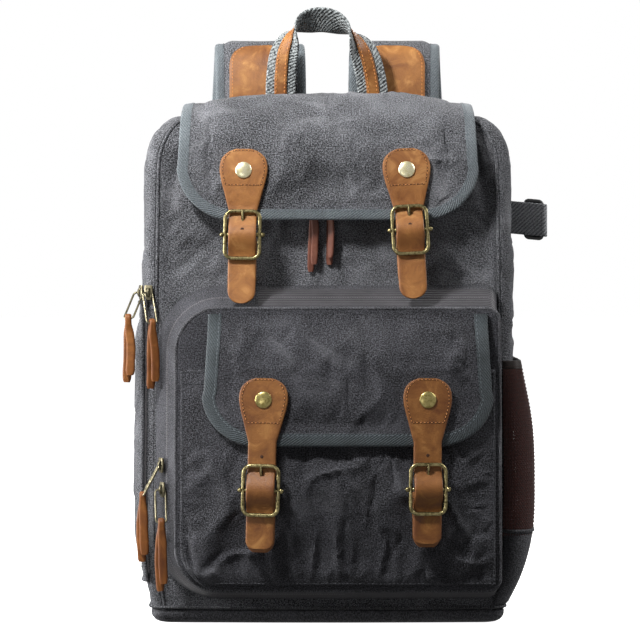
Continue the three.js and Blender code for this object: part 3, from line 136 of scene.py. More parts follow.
STRAP_WIDTH = 79
STRAP_WALL = 12
STRAP_RISE = 68
STRAP_REACH = 54
STRAP_DROP = 262
STRAP_SPLAY = 34
STRAP_STEPS = 25
PATCH_WIDTH = 54
PATCH_WALL = 1.6
STRAP_WEBBING = 25
WEBBING_WALL = 2
STRAP_SLIDER = 24
STRAP_SLIDER_WALL = 5
ANCHOR_WIDTH = 46
ANCHOR_HEIGHT = 42
ANCHOR_WALL = 3
LASH_WIDTH = 27
LASH_WALL = 1.8
LASH_REACH = 34
LASH_HEIGHT = BODY_HEIGHT - 83
LASH_DEPTH = 8
LASH_BAR = 5
LOOP_WIDTH = 20
LOOP_HEIGHT = 28
BOTTLE_TOP = 215
BOTTLE_SEAM = 76
BOTTLE_BOTTOM = 16
BOTTLE_BULGE = 17
BOTTLE_SPAN = (1.15, 3.55)
DOOR_SPAN = (-3.75, -1.55)
DOOR_TOP = 262
DOOR_BOTTOM = 36
DOOR_EDGE = 2
DOOR_BULGE = 4.5
SLIDER_WIDTH = 8
SLIDER_LENGTH = 12
SLIDER_WALL = 3.4
BAIL_LENGTH = 28
BAIL_WIDTH = 10
BAIL_WIRE = 1.7
LACE_WALL = 2
LACE_LENGTH = 56
PIPING = {"seam": 1.5, "organiser": 1.6, "door": 1.7, "bottle": 1.4}
FLAP_BINDING = {"top": 9, "front": 11}
STRAP_PAD_INSET = 12
STRAP_BINDING = 9.6
STRAP_BINDING_WALL = 6.4
CHANNEL_PLACE = 30
CHANNEL_HEIGHTS = (120, 230)
CHANNEL_DEPTH = 3.4
CHANNEL_REACH = 4.5
NET_STRAND = 0.72
NET_WEAVE = 0.45
NET_HEM_WIDTH = 7
LASH_SAG = 0.09
SLIDER_WIRE = 2.2
TOP_LACE_WIDTH = 5.8
TOP_LACE_WALL = 2.2
SIDE_LACE_WIDTH = 7.2
SIDE_LACE_WALL = 3.1

# Stitches, needle holes and zipper teeth, as pitch, length, width and height
CANVAS_STITCH = (3.4, 2.6, 0.8, 0.7)
FLAP_STITCH = (3.6, 2.7, 0.8, 0.7)
STRAP_STITCH = (3.8, 2.8, 0.8, 0.7)
BELT_STITCH = (2.9, 1.8, 0.8, 0.8)
BELT_NEEDLE_HOLE = (2.9, 2.9, 1.1, 0.5)
HANDLE_STITCH = (3.4, 2.3, 1.0, 0.8)
PATCH_STITCH = (3.2, 2.1, 0.9, 0.7)
ORGANISER_TEETH = (1.9, 1.7, 2.8, 1.6)
DOOR_TEETH = (1.9, 1.7, 3.2, 1.6)

# Tables by share of the length
BODY_SECTIONS = np.array([
    (0, 0.952, 1.1, 0.96), (0.08, 0.98, 1.15, 0.99), (0.25, 1, 1.14, 1), (0.45, 1, 1.08, 1),
    (0.65, 1, 1.01, 1), (0.85, 0.997, 0.97, 1), (1, 0.992, 0.94, 1),
])
BELT_TAB = np.array([
    (0, 0.42), (0.03, 0.62), (0.1, 0.83), (0.2, 0.96), (0.32, 1), (0.5, 0.93), (0.7, 0.79),
    (0.88, 0.67), (1, BELT_WIDTH / TAB_WIDTH),
])
FLAP_DROOPS = np.array([(0, 0.2), (0.35, 0.35), (0.55, 1), (0.8, 1), (1, 0)])
BOTTLE_SECTIONS = np.array([
    (0, 0.02), (0.12, 0.5), (0.3, 0.95), (0.5, 1), (0.75, 0.88), (0.92, 0.5), (1, 0.3),
])
STRAP_PATH = np.array([
    (0, 0, 0.17, 0, 1), (0, 0, 0.02, 0, 1), (0.05, 0.5, 0, 0, 1), (0.2, 0.86, 0, 0.02, 1),
    (0.48, 1, 0, 0.05, 1), (0.8, 0.84, 0, 0.09, 1), (0.98, 0.42, 0, 0.16, 0.99), (1, 0, 0.08, 0.26, 0.97),
    (0.93, 0, 0.32, 0.45, 0.93), (0.78, 0, 0.64, 0.72, 0.86), (0.56, 0, 1, 1, 0.72),
])
HANDLE_PATH = np.array([
    (1, 0, 0, 0), (0.99, 0.22, 0.1, 0.04), (0.95, 0.45, 0.35, 0.14), (0.84, 0.68, 0.65, 0.34),
    (0.59, 0.87, 0.86, 0.58), (0.31, 0.97, 0.96, 0.82), (0, 1, 1, 1),
])


def rows_of(fields, *rows):
    """Rows as dictionaries with the fields as keys"""
    return [dict(zip(fields.split(), row)) for row in rows]


BELTS = rows_of(
    "name flap across tip_across tab buckle tip chape lean tip_round box",
    ("upper_left", "top", -0.553, -0.565, 1.14, 0.298, 1.09, 0.93, 0.19, 10, 29),
    ("upper_right", "top", 0.512, 0.561, 1.15, 0.202, 1.09, 0.93, 0.19, 10, 29),
    ("lower_left", "front", -0.571, -0.601, 1.08, 0.81, 0.92, 0.98, 0.03, 6, 35),
    ("lower_right", "front", 0.541, 0.536, 1.08, 0.786, 0.86, 0.92, 0.03, 6, 35),
)
ZIP_PULLS = rows_of(
    "name on across height lean forward lace",
    ("top_left", "front", -0.078, 0.892, 0, 0.1, 1),
    ("top_right", "front", 0.02, 0.896, -0.06, 0.1, 0.93),
    ("gusset_upper", "gusset", 0.39, 0.437, -0.47, 0.07, 0.95),
    ("gusset_lower", "gusset", 0.45, 0.35, 0.06, 0.43, 0.98),
    ("door_front", "corner", -1.3, 0.67, 0.17, 0.45, 0.95),
    ("door_back", "corner", -1.75, 0.67, -0.26, 0.62, 0.93),
)


# Small mathematics

RIGHT = np.array([1.0, 0, 0])
FRONT = np.array([0, -1.0, 0])
UP = np.array([0, 0, 1.0])


def lerp(low, high, share):
    """Between low and high by a share"""
    return low + (high - low) * share


def smooth(share):
    """A share eased at both ends"""
    share = np.clip(share, 0, 1)
    return share * share * (3 - 2 * share)


def unit(vectors):
    """Vectors of length 1"""
    return vectors / np.maximum(np.linalg.norm(vectors, axis=-1, keepdims=True), 1e-9)


def tangents(line):
    """Directions along a line of points"""
    return unit(np.gradient(line, axis=0))


def square_to(tangent, wanted):
    """Directions near the wanted ones, square to the tangents"""
    wanted = np.broadcast_to(wanted, tangent.shape)
    return unit(wanted - tangent * np.sum(wanted * tangent, axis=-1, keepdims=True))


def stack(x, y, z):
    """Points from three coordinates of any matching shapes"""
    return np.stack(np.broadcast_arrays(x, y, z), -1).astype(float)


def sample(table, column, at):
    """Smooth value of a table's column at places along its first column"""
    marks = table[:, 0]
    values = table[:, column]
    slopes = np.gradient(values, marks)
    at = np.clip(at, marks[0], marks[-1])
    low = np.clip(np.searchsorted(marks, at) - 1, 0, len(marks) - 2)
    width = marks[low + 1] - marks[low]
    t = (at - marks[low]) / width
    rise = values[low + 1] - values[low]
    start = slopes[low] * width
    end = slopes[low + 1] * width
    return values[low] + t * (start + t * (3 * rise - 2 * start - end + t * (start + end - 2 * rise)))


def spline(points, share):
    """Centripetal curve through points, with share from 0 to 1 in even steps of the points"""
    padded = np.vstack([2 * points[0] - points[1], points, 2 * points[-1] - points[-2]])
    place = np.clip(share, 0, 1) * (len(points) - 1)
    low = np.minimum(place.astype(int), len(points) - 2)
    w = (place - low)[:, None]
    before, here, there, after = (padded[low + i] for i in range(4))
    a, b, c = (np.sqrt(np.linalg.norm(q - p, axis=1, keepdims=True))
               for p, q in ((before, here), (here, there), (there, after)))
    start = ((here - before) / a - (there - before) / (a + b) + (there - here) / b) * b
    end = ((there - here) / b - (after - here) / (b + c) + (after - there) / c) * b
    rise = there - here
    return here + w * (start + w * (3 * rise - 2 * start - end + w * (start + end - 2 * rise)))


def lengths(points):
    """Length along a line of points up to each of them"""
    return np.concatenate([[0], np.cumsum(np.linalg.norm(np.diff(points, axis=0), axis=1))])


def resample(points, count):
    """The line of points again, with even steps"""
    reach = lengths(points)
    marks = np.linspace(0, reach[-1], count)
    return np.stack([np.interp(marks, reach, points[:, i]) for i in range(points.shape[1])], 1)


def edged(low, high, step, fine=(0.3, 0.9, 1.8)):
    """Marks from low to high, close together near both ends so that an edge can be rounded"""
    inner = np.linspace(low + fine[-1], high - fine[-1], max(int((high - low - 2 * fine[-1]) / step), 2) + 1)
    ends = np.array((0, *fine[:-1]))
    return np.concatenate([low + ends, inner, (high - ends)[::-1]])


def normals_of(grid):
    """Outward directions of a grid whose columns run right and whose rows run up"""
    return unit(np.cross(np.gradient(grid, axis=1), np.gradient(grid, axis=0)))


def raised(grid, height):
    """The grid moved outward by the height at each of its points"""
    return grid + normals_of(grid) * height[..., None]


def grid_uv(across, along):
    """Cloth coordinates from how far each column lies across and each row along"""
    return np.stack(np.broadcast_arrays(across, along[:, None]), -1)


def ripple(points, size, seed, stretch=(1, 1, 1)):
    """Soft random height from -1 to 1 over points, with bumps of about the size"""
    flat = points.reshape(-1, 3) * np.array(stretch) / size + seed * 7.31
    return np.array([noise.noise(Vector(p)) for p in flat]).reshape(points.shape[:-1])


def creases(points, size, seed, stretch=(1, 1, 1)):
    """Sharp random folds from 0 to 1 over points"""
    folds = 1 - np.abs(ripple(points, size, seed, stretch)) * 4
    return np.clip(folds, 0, 1) ** 2 * smooth(ripple(points, 1.7 * size, seed + 3) * 2 + 0.45)


# Meshes


class Shape:
    """Points, faces and cloth coordinates of a mesh that is being put together"""

    def __init__(self):
        self.points = []
        self.faces = []
        self.uv = []
        self.edge = []
        self.count = 0

    def add(self, points, faces, uv=None, edge=None):
        points = np.asarray(points, float).reshape(-1, 3)
        uv = points[:, [0, 2]] if uv is None else np.asarray(uv, float).reshape(-1, 2)
        edge = np.zeros(len(points)) if edge is None else np.asarray(edge, float).reshape(-1)
        for group in faces:
            self.faces += (np.asarray(group) + self.count).tolist()
        self.points.append(points)
        self.uv.append(uv)
        self.edge.append(edge)
        self.count += len(points)
        return self


def facing_out(points, groups):
    """The face groups turned so that a closed mesh faces outward"""
    volume = 0
    for group in groups:
        corners = points[group]
        for i in range(1, group.shape[1] - 1):
            volume += np.einsum("ij,ij->", corners[:, 0], np.cross(corners[:, i], corners[:, i + 1]))
    return groups if volume > 0 else [group[:, ::-1] for group in groups]


def add_wall(shape, outer, inner, uv):
    """A closed sheet between two grids"""
    rows, columns = outer.shape[:2]
    size = rows * columns
    index = np.arange(size).reshape(rows, columns)
    a, b, c, d = index[:-1, :-1], index[:-1, 1:], index[1:, 1:], index[1:, :-1]
    front = np.stack([a, b, c, d], -1).reshape(-1, 4)
    back = np.stack([a, d, c, b], -1).reshape(-1, 4) + size
    loop = np.concatenate([index[0, :-1], index[:-1, -1], index[-1, :0:-1], index[:0:-1, 0]])
    following = np.roll(loop, -1)
    rim = np.stack([loop, loop + size, following + size, following], -1)
    edge = np.zeros((rows, columns))
    edge[[0, -1], :] = 1
    edge[:, [0, -1]] = 1
    points = np.concatenate([outer.reshape(-1, 3), inner.reshape(-1, 3)])
    shape.add(points, [front, back, rim], np.tile(uv.reshape(-1, 2), (2, 1)), np.tile(edge.reshape(-1), 2))
    return shape


def add_cloth(shape, grid, wall, lift=0.0, round_edges=True):
    """A closed sheet of cloth on a grid. Its outer face stands lift off the grid, and its edges are round."""
    out = normals_of(grid)
    across = np.linalg.norm(np.diff(grid, axis=1), axis=2)
    along = np.linalg.norm(np.diff(grid, axis=0), axis=2)
    u = np.concatenate([np.zeros((grid.shape[0], 1)), np.cumsum(across, axis=1)], axis=1)
    v = np.concatenate([np.zeros((1, grid.shape[1])), np.cumsum(along, axis=0)], axis=0)
    middle = [grid.shape[1] // 2]
    uv = np.stack([u - u[:, middle], np.broadcast_to(v[:, middle], u.shape)], -1)
    full = np.ones(grid.shape[:2])
    if round_edges:
        inset = np.minimum(np.minimum(u, u[:, [-1]] - u), np.minimum(v, v[[-1], :] - v))
        near = np.clip(inset / (0.6 * wall), 0, 1)
        full = 0.25 + 0.75 * np.sqrt(np.clip(1 - (1 - near) ** 2, 0, 1))
    middle_face = grid + out * (lift - wall / 2)
    half = (out * wall / 2) * full[..., None]
    return add_wall(shape, middle_face + half, middle_face - half, uv)


def add_loft(shape, rings, looped=False, uv=None, edge=None):
    """A closed body through rings of points"""
    count, size = rings.shape[:2]
    index = np.arange(count * size).reshape(count, size)
    here = index if looped else index[:-1]
    there = np.roll(index, -1, axis=0) if looped else index[1:]
    quads = np.stack([here, there, np.roll(there, -1, axis=1), np.roll(here, -1, axis=1)], -1).reshape(-1, 4)
    points = rings.reshape(-1, 3)
    groups = [quads]
    if uv is None:
        reach = lengths(rings.mean(axis=1))
        girth = np.linalg.norm(np.roll(rings[0], -1, axis=0) - rings[0], axis=1)
        uv = stack(np.broadcast_to(np.cumsum(girth), (count, size)), reach[:, None], 0)[..., :2]
    uv = uv.reshape(-1, 2)
    edge = np.zeros(count * size) if edge is None else np.broadcast_to(edge, (count, size)).reshape(-1)
    if not looped:
        middles = rings[[0, -1]].mean(axis=1)
        points = np.vstack([points, middles])
        uv = np.vstack([uv, uv[[0, -1]]])
        edge = np.append(edge, [1, 1])
        first = np.stack([np.roll(index[0], -1), np.full(size, count * size), index[0]], -1)
        last = np.stack([index[-1], np.full(size, count * size + 1), np.roll(index[-1], -1)], -1)
        groups.append(np.vstack([first, last]))
    return shape.add(points, facing_out(points, groups), uv, edge)


def band_section(width, wall, columns):
    """Round-edged section of a strap: places across and out, and how near each is to an edge"""
    turn = np.linspace(-math.pi / 2, math.pi / 2, 7)[1:-1]
    flat = np.linspace(-1, 1, columns + 1) * (width / 2 - wall / 2)
    across = np.concatenate([flat, width / 2 - wall / 2 * (1 - np.cos(turn)), flat[::-1],
                             -width / 2 + wall / 2 * (1 - np.cos(turn))])
    out = np.concatenate([np.full(columns + 1, -wall / 2), wall / 2 * np.sin(turn),
                          np.full(columns + 1, wall / 2), -wall / 2 * np.sin(turn)])
    return across, out, np.clip(1 - (width / 2 - np.abs(across)) / 3, 0, 1)


def add_band(shape, centres, across, outward, widths, walls, columns=8):
    """A strap of round-edged section along centres"""
    widths = np.broadcast_to(np.asarray(widths, float), (len(centres),))
    walls = np.broadcast_to(np.asarray(walls, float), (len(centres),))
    rings = []
    uv = []
    reach = lengths(centres)
    for i, centre in enumerate(centres):
        a, b, edge = band_section(widths[i], walls[i], columns)
        rings.append(centre + a[:, None] * across[i] + b[:, None] * outward[i])
        uv.append(np.stack([a, np.full(len(a), reach[i])], 1))
    return add_loft(shape, np.array(rings), uv=np.array(uv), edge=edge)


def add_tube(shape, points, radius, looped=False, sides=8, normal=None):
    """A round wire along points"""
    points = np.asarray(points, float)
    if looped:
        tangent = unit(np.roll(points, -1, axis=0) - np.roll(points, 1, axis=0))
    else:
        tangent = tangents(points)
    guide = np.broadcast_to(FRONT if normal is None else normal, points.shape)
    side = unit(np.cross(tangent, guide))
    face = np.cross(side, tangent)
    turn = np.linspace(0, 2 * math.pi, sides, endpoint=False)
    radii = np.broadcast_to(np.asarray(radius, float), (len(points),))[:, None, None]
    rings = points[:, None] + radii * (np.cos(turn)[None, :, None] * side[:, None]
                                       + np.sin(turn)[None, :, None] * face[:, None])
    return add_loft(shape, rings, looped)


def bead(length, width, height):
    """A small pointed bead, as points along, across and out with its faces"""
    sides = 6
    turn = np.linspace(0, 2 * math.pi, sides, endpoint=False)
    rings = [stack(np.full(sides, s * length * 0.32), np.cos(turn) * width / 2, np.sin(turn) * height / 2)
             for s in (-1, 1)]
    points = np.vstack([[(-length / 2, 0, 0)], *rings, [(length / 2, 0, 0)]])
    ring = np.arange(sides) + 1
    following = np.roll(ring, -1)
    tips = np.vstack([np.stack([np.zeros(sides, int), ring, following], 1),
                      np.stack([following + sides, ring + sides, np.full(sides, 2 * sides + 1)], 1)])
    sleeve = np.stack([ring, ring + sides, following + sides, following], 1)
    return points, facing_out(points, [tips, sleeve])


def add_beads(shape, line, outward, pitch, length, width, height, lift=0.0):
    """Beads set along a line, such as stitches or a zipper's teeth"""
    reach = lengths(line)
    marks = np.arange(pitch / 2, reach[-1], pitch)
    at = np.stack([np.interp(marks, reach, line[:, i]) for i in range(3)], 1)
    out = unit(np.stack([np.interp(marks, reach, outward[:, i]) for i in range(3)], 1))
    step = np.stack([np.interp(marks + 0.5, reach, line[:, i]) - np.interp(marks - 0.5, reach, line[:, i])
                     for i in range(3)], 1)
    along = unit(step - out * np.sum(step * out, axis=1, keepdims=True))
    across = np.cross(out, along)
    points, groups = bead(length, width, height)
    for i, place in enumerate(at):
        placed = place + out[i] * lift + points @ np.stack([along[i], across[i], out[i]])
        shape.add(placed, groups, placed[:, :2] * 0)
    return shape


made_pieces = 0


def finish_piece(name, shape, finish, stands_for=(), sharp=40, pieces_under=None):
    """Makes the mesh of a shape, gives it its finish and lets it ride on the bag"""
    global made_pieces
    made_pieces += 1
    mesh = bpy.data.meshes.new(name)
    points = np.vstack(shape.points)
    mesh.from_pydata((points * MM).tolist(), [], shape.faces)
    corners = np.zeros(len(mesh.loops), int)
    mesh.loops.foreach_get("vertex_index", corners)
    uv = (np.vstack(shape.uv) * MM + 0.37 * made_pieces)[corners]
    mesh.uv_layers.new(name="cloth").data.foreach_set("uv", uv.reshape(-1).astype(np.float32))
    mesh.attributes.new("edge", "FLOAT", "POINT").data.foreach_set("value", np.concatenate(shape.edge))
    mesh.materials.append(finish)
    mesh.shade_smooth()
    mesh.set_sharp_from_angle(angle=math.radians(sharp))
    piece = bpy.data.objects.new(name, mesh)
    bpy.context.scene.collection.objects.link(piece)
    if pieces_under is None:
        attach(piece, "root")
    else:
        piece.parent = pieces_under
    if stands_for:
        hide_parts(*stands_for)
    return piece


def blurred(values):
    """A grid's values, evened out between neighbours many times"""
    for _ in range(BROAD_MOVE_PASSES):
        wide = np.pad(values, ((1, 1), (1, 1), (0, 0)), "edge")
        around = wide[:-2, 1:-1] + wide[2:, 1:-1] + wide[1:-1, :-2] + wide[1:-1, 2:]
        values = values / 2 + around / 8
    return values


def drape(grid, free, cap, pressure, slack=0.02):
    """Cloth simulation of a sheet. Points where free is 0 are sewn down, and none moves past its cap.
    Only the folds are kept: the sheet as a whole stays where the grid is."""
    rows, columns = grid.shape[:2]
    index = np.arange(rows * columns).reshape(rows, columns)
    faces = np.stack([index[:-1, :-1], index[:-1, 1:], index[1:, 1:], index[1:, :-1]], -1).reshape(-1, 4)
    mesh = bpy.data.meshes.new("cloth")
    mesh.from_pydata((grid.reshape(-1, 3) * MM).tolist(), [], faces.tolist())
    sheet = bpy.data.objects.new("cloth", mesh)
    scene = bpy.context.scene
    scene.collection.objects.link(sheet)
    sewn = sheet.vertex_groups.new(name="sewn")
    for i, share in enumerate(1 - free.reshape(-1)):
        if share > 0:
            sewn.add([i], float(share), "REPLACE")
    cloth = sheet.modifiers.new("cloth", "CLOTH")
    settings = cloth.settings
    settings.quality = 4
    settings.mass = 0.2
    settings.tension_stiffness = CLOTH_STIFFNESS
    settings.compression_stiffness = CLOTH_STIFFNESS
    settings.shear_stiffness = CLOTH_STIFFNESS / 2
    settings.bending_stiffness = 0.4
    settings.use_pressure = True
    settings.uniform_pressure_force = pressure
    settings.shrink_min = -slack
    settings.vertex_group_mass = "sewn"
    settings.effector_weights.gravity = 0
    cloth.collision_settings.use_collision = False
    cloth.point_cache.frame_start = 1
    cloth.point_cache.frame_end = CLOTH_STEPS
    for step in range(1, CLOTH_STEPS + 1):
        scene.frame_set(step)
    result = sheet.evaluated_get(bpy.context.evaluated_depsgraph_get()).to_mesh()
    moved = np.zeros(rows * columns * 3)
    result.vertices.foreach_get("co", moved)
    bpy.data.objects.remove(sheet)
    scene.frame_set(1)
    move = moved.reshape(grid.shape) / MM - grid
    move = move - BROAD_MOVE_REMOVED * blurred(move)
    size = np.linalg.norm(move, axis=-1, keepdims=True)
    cap = np.broadcast_to(cap, size.shape[:2])[..., None]
    return grid + move * np.tanh(size / cap) * cap / np.maximum(size, 1e-6) * free[..., None] ** 0.5


# Finishes


class Finish:
    """A procedural material that is being put together"""

    def __init__(self, name, roughness, metallic=0.0, specular=0.5, sheen=0.0):
        self.material = bpy.data.materials.new(name)
        self.material.use_nodes = True
        self.tree = self.material.node_tree
        self.shader = self.tree.nodes["Principled BSDF"]
        self.shader.inputs["Roughness"].default_value = roughness
        self.shader.inputs["Metallic"].default_value = metallic
        self.shader.inputs["Specular IOR Level"].default_value = specular
        self.shader.inputs["Sheen Weight"].default_value = sheen
        self.shader.inputs["Sheen Roughness"].default_value = 0.5
        place = self.node("TexCoord")
        self.sheet = place.outputs["UV"]
        self.solid = place.outputs["Object"]

    def node(self, kind, inputs=None, **settings):
        made = self.tree.nodes.new("ShaderNode" + kind)
        for key, value in settings.items():
            setattr(made, key, value)
        for key, value in (inputs or {}).items():
            self.set(made.inputs[key], value)
        return made

    def set(self, socket, value):
        if isinstance(value, bpy.types.NodeSocket):
            self.tree.links.new(value, socket)
        else:
            socket.default_value = value

    def stretched(self, scale, turn=0.0):
        """The sheet's coordinates in metres, stretched by scale and turned"""
        return self.node("Mapping", {"Vector": self.sheet, "Scale": scale,
                                     "Rotation": (0, 0, turn)}).outputs["Vector"]

    def noise(self, vector, scale, detail=2.0, roughness=0.5, distortion=0.0):
        made = self.node("TexNoise", {"Vector": vector, "Scale": scale, "Detail": detail,
                                      "Roughness": roughness, "Distortion": distortion})
        return made.outputs["Fac"]

    def math(self, kind, a, b=0.0):
        return self.node("Math", {0: a, 1: b}, operation=kind).outputs[0]

    def add(self, a, b):
        return self.math("ADD", a, b)

    def times(self, a, b):
        return self.math("MULTIPLY", a, b)

    def span(self, value, low, high, to_low=0.0, to_high=1.0):
        made = self.node("MapRange", {"Value": value, "From Min": low, "From Max": high,
                                      "To Min": to_low, "To Max": to_high})
        return made.outputs["Result"]

    def mix(self, share, a, b):
        made = self.node("Mix", {0: share, 6: a, 7: b}, data_type="RGBA")
        return made.outputs[2]

    def edge(self):
        return self.node("Attribute", attribute_name="edge").outputs["Fac"]

    def bump(self, height, distance, strength=1.0, under=None):
        inputs = {"Height": height, "Distance": distance, "Strength": strength}
        if under is not None:
            inputs["Normal"] = under
        return self.node("Bump", inputs).outputs["Normal"]

    def done(self, colour, normal=None, roughness=None):
        self.set(self.shader.inputs["Base Color"], colour)
        if normal is not None:
            self.set(self.shader.inputs["Normal"], normal)
        if roughness is not None:
            self.set(self.shader.inputs["Roughness"], roughness)
        return self.material


def rgb(code):
    """A linear colour from a hexadecimal one"""
    parts = [int(code[i:i + 2], 16) / 255 for i in (0, 2, 4)]
    return (*(p / 12.92 if p <= 0.04045 else ((p + 0.055) / 1.055) ** 2.4 for p in parts), 1)


def canvas(name, dark, light, crease, roughness=0.86):
    """Waxed canvas: speckled yarns, cloudy wax and pale lines where it has been folded"""
    f = Finish(name, roughness, specular=0.2, sheen=0.08)
    warp = f.noise(f.stretched((1100, 330, 1)), 1, 2, 0.75)
    weft = f.noise(f.stretched((330, 1100, 1)), 1, 2, 0.75)
    threads = f.add(f.span(warp, 0.34, 0.66), f.span(weft, 0.34, 0.66))
    fleck = f.noise(f.sheet, 880, 2, 0.85)
    cloud = f.noise(f.sheet, 26, 5, 0.62, 0.4)
    broad = f.noise(f.sheet, 7, 2, 0.5)
    fold = f.noise(f.stretched((15, 22, 1), 0.5), 1, 3, 0.5, 0.7)
    line = f.span(f.math("ABSOLUTE", f.math("SUBTRACT", fold, 0.5)), 0.0, 0.09, 1, 0)
    patch = f.span(f.noise(f.sheet, 13, 3, 0.6), 0.5, 0.66)
    line = f.times(f.times(line, line), patch)
    tone = f.add(f.times(threads, 0.2), f.span(cloud, 0.3, 0.75, -0.14, 0.2))
    tone = f.add(tone, f.span(broad, 0.3, 0.7, -0.1, 0.12))
    tone = f.add(tone, f.span(fleck, 0.46, 0.6, -0.1, 0.76))
    colour = f.mix(tone, rgb(dark), rgb(light))
    colour = f.mix(f.times(line, 0.28), colour, rgb(crease))
    relief = f.bump(f.add(threads, fleck), 0.0004, 0.8)
    relief = f.bump(f.add(cloud, f.times(line, 0.2)), 0.0016, 0.5, relief)
    return f.done(colour, relief)


def leather(name, dark, mid, light):
    """Oiled leather: cloudy colour, fine grain, darker scuffs and burnished edges"""
    f = Finish(name, 0.55, specular=0.42)
    cloud = f.noise(f.sheet, 55, 5, 0.65, 0.8)
    broad = f.noise(f.sheet, 16, 3, 0.55)
    scuff = f.noise(f.stretched((90, 420, 1), 0.6), 1, 3, 0.6)
    grain = f.node("TexVoronoi", {"Vector": f.sheet, "Scale": 1100.0}).outputs["Distance"]
    tone = f.add(f.span(cloud, 0.3, 0.72, 0.0, 0.75), f.span(broad, 0.3, 0.7, -0.2, 0.3))
    colour = f.mix(tone, rgb(dark), rgb(mid))
    colour = f.mix(f.span(cloud, 0.54, 0.84, 0, 0.55), colour, rgb(light))
    colour = f.mix(f.span(scuff, 0.62, 0.78, 0, 0.45), colour, rgb(dark))
    colour = f.mix(f.times(f.edge(), 0.5), colour, rgb(dark))
    relief = f.bump(f.add(f.times(grain, -0.4), cloud), 0.0006, 0.55)
    return f.done(colour, relief, f.span(cloud, 0.3, 0.7, 0.42, 0.66))


def metal(name, dark, light, roughness=0.3, pits=0.35):
    """Antique brass: rubbed bright in places and dark in others"""
    f = Finish(name, roughness, metallic=1.0)
    spots = f.noise(f.solid, 420, 4, 0.65)
    colour = f.mix(f.span(spots, 0.34, 0.66), rgb(dark), rgb(light))
    relief = f.bump(spots, 0.0003, pits)
    return f.done(colour, relief, f.span(spots, 0.3, 0.7, roughness + 0.14, roughness - 0.08))


def tape(name, dark, light, pitch, turn, depth, speckle, contrast=0.4, grain=900):
    """Woven tape with ribs a pitch apart in millimetres, turned in its own plane"""
    f = Finish(name, 0.8, specular=0.3, sheen=0.15)
    ribs = f.node("TexWave", {"Vector": f.stretched((1, 1, 1), turn), "Scale": 100 * math.pi / pitch,
                              "Distortion": 0.6, "Detail": 1.0, "Detail Scale": 3.0},
                  bands_direction="X").outputs["Fac"]
    fleck = f.noise(f.sheet, grain, 2, 0.7)
    cloud = f.noise(f.sheet, 40, 4, 0.6)
    tone = f.add(f.times(ribs, contrast), f.span(fleck, 0.3, 0.7, -speckle / 2, speckle))
    tone = f.add(tone, 0.25 - contrast / 2)
    tone = f.add(tone, f.span(cloud, 0.3, 0.7, -0.15, 0.2))
    return f.done(f.mix(tone, rgb(dark), rgb(light)), f.bump(ribs, depth, 0.8))


def moulded(name, dark, light, roughness):
    """Moulded plastic or thread with a fine grain"""
    f = Finish(name, roughness)
    grain = f.noise(f.solid, 900, 3, 0.6)
    colour = f.mix(f.span(grain, 0.3, 0.7), rgb(dark), rgb(light))
    worn = f.span(grain, 0.3, 0.7, roughness - 0.08, roughness + 0.1)
    return f.done(colour, f.bump(grain, 0.0002, 0.3), worn)


def air_mesh(name, dark, light):
    """Spacer mesh with small round holes"""
    f = Finish(name, 0.9, specular=0.25, sheen=0.2)
    cells = f.node("TexVoronoi", {"Vector": f.sheet, "Scale": 330.0, "Randomness": 0.25})
    open_share = f.span(cells.outputs["Distance"], 0.2, 0.42)
    return f.done(f.mix(open_share, rgb(dark), rgb(light)), f.bump(open_share, 0.0009, 0.8))


# Darker copies of the canvas, the binding tape and the leather are used low on the bag's front: they are
# painted shade, standing in for the light that falls off there.
CANVAS = canvas("waxed_canvas", "0c0c0e", "87888d", "a0a0a4")
CANVAS_SHADED = canvas("waxed_canvas_painted_shade", "060607", "5d5d63", "747478")
BASE = canvas("base_canvas", "1a1a1c", "66666b", "88888c", roughness=0.7)
BINDING = tape("binding_tape", "474c50", "7f878b", 1.7, math.radians(35), 0.0005, 0.6, 0.35)
# Darker copy of the binding tape for the front flap: painted shade of the lower front.
BINDING_SHADED = tape("binding_tape_painted_shade", "2a2e30", "51595d", 1.7, math.radians(35), 0.0005, 0.6, 0.35)
ZIP_TAPE = tape("zipper_tape", "222124", "4d4a4f", 3.0, 0, 0.0008, 0.25, 0.6)
DOOR_ZIP = tape("door_zipper_tape", "242427", "4b4a4e", 2.4, 0, 0.0006, 0.3, 0.4)
MESH = air_mesh("back_mesh", "0b0b0c", "3c3d41")
LEATHER = leather("leather", "6f4018", "b37a3e", "d2a266")
# Darker copy of the leather for the lower belts: painted shade of the lower front.
LEATHER_SHADED = leather("leather_painted_shade", "623612", "a36d35", "c39256")
LACE = leather("lace_leather", "63340f", "a2652b", "c58a4c")
TOP_LACE = leather("top_lace_leather", "562c1f", "84503b", "a5745e")
BRASS = metal("brass", "3c361f", "9f936a")
# Pale brass for the upper rivets: a painted highlight, standing in for the light that falls on them from
# above.
BRASS_PAINTED_HIGHLIGHT = metal("brass_painted_highlight", "c6bb8e", "f4edcd", 0.28, 0.06)
BRASS_OLIVE = metal("brass_olive", "74683a", "b0a26c", 0.3, 0.06)
BRASS_GREY = metal("brass_grey", "3f3b2e", "968e74")
WEBBING = tape("webbing", "2c2e30", "979c9c", 2.6, math.radians(60), 0.0007, 1.5, 0.25, 480)
LASH = tape("lash_webbing", "58595d", "c4c6ca", 2.4, math.radians(45), 0.0007, 0.6, 0.5)
PLASTIC = moulded("plastic", "0c0c0d", "1c1c1e", 0.4)
THREAD = moulded("thread", "232427", "4c4d52", 0.8)
LEATHER_THREAD = moulded("leather_thread", "a8642a", "cf8f52", 0.8)
# Dark marks for needle holes, the belt's spare hole and its prong slot: painted shade of holes that are not
# cut.
HOLE_SHADE = moulded("needle_holes", "2b170a", "4a2a12", 0.9)
PALE_THREAD = moulded("pale_thread", "43494d", "737a7f", 0.8)
COIL = moulded("zipper_coil", "3a383b", "6c696c", 0.45)
NET = moulded("net", "170908", "552a23", 0.7)
NET_HEM = tape("net_hem", "17120f", "3d322d", 1.4, 0.6, 0.0004, 0.3)


# Surfaces of the bag


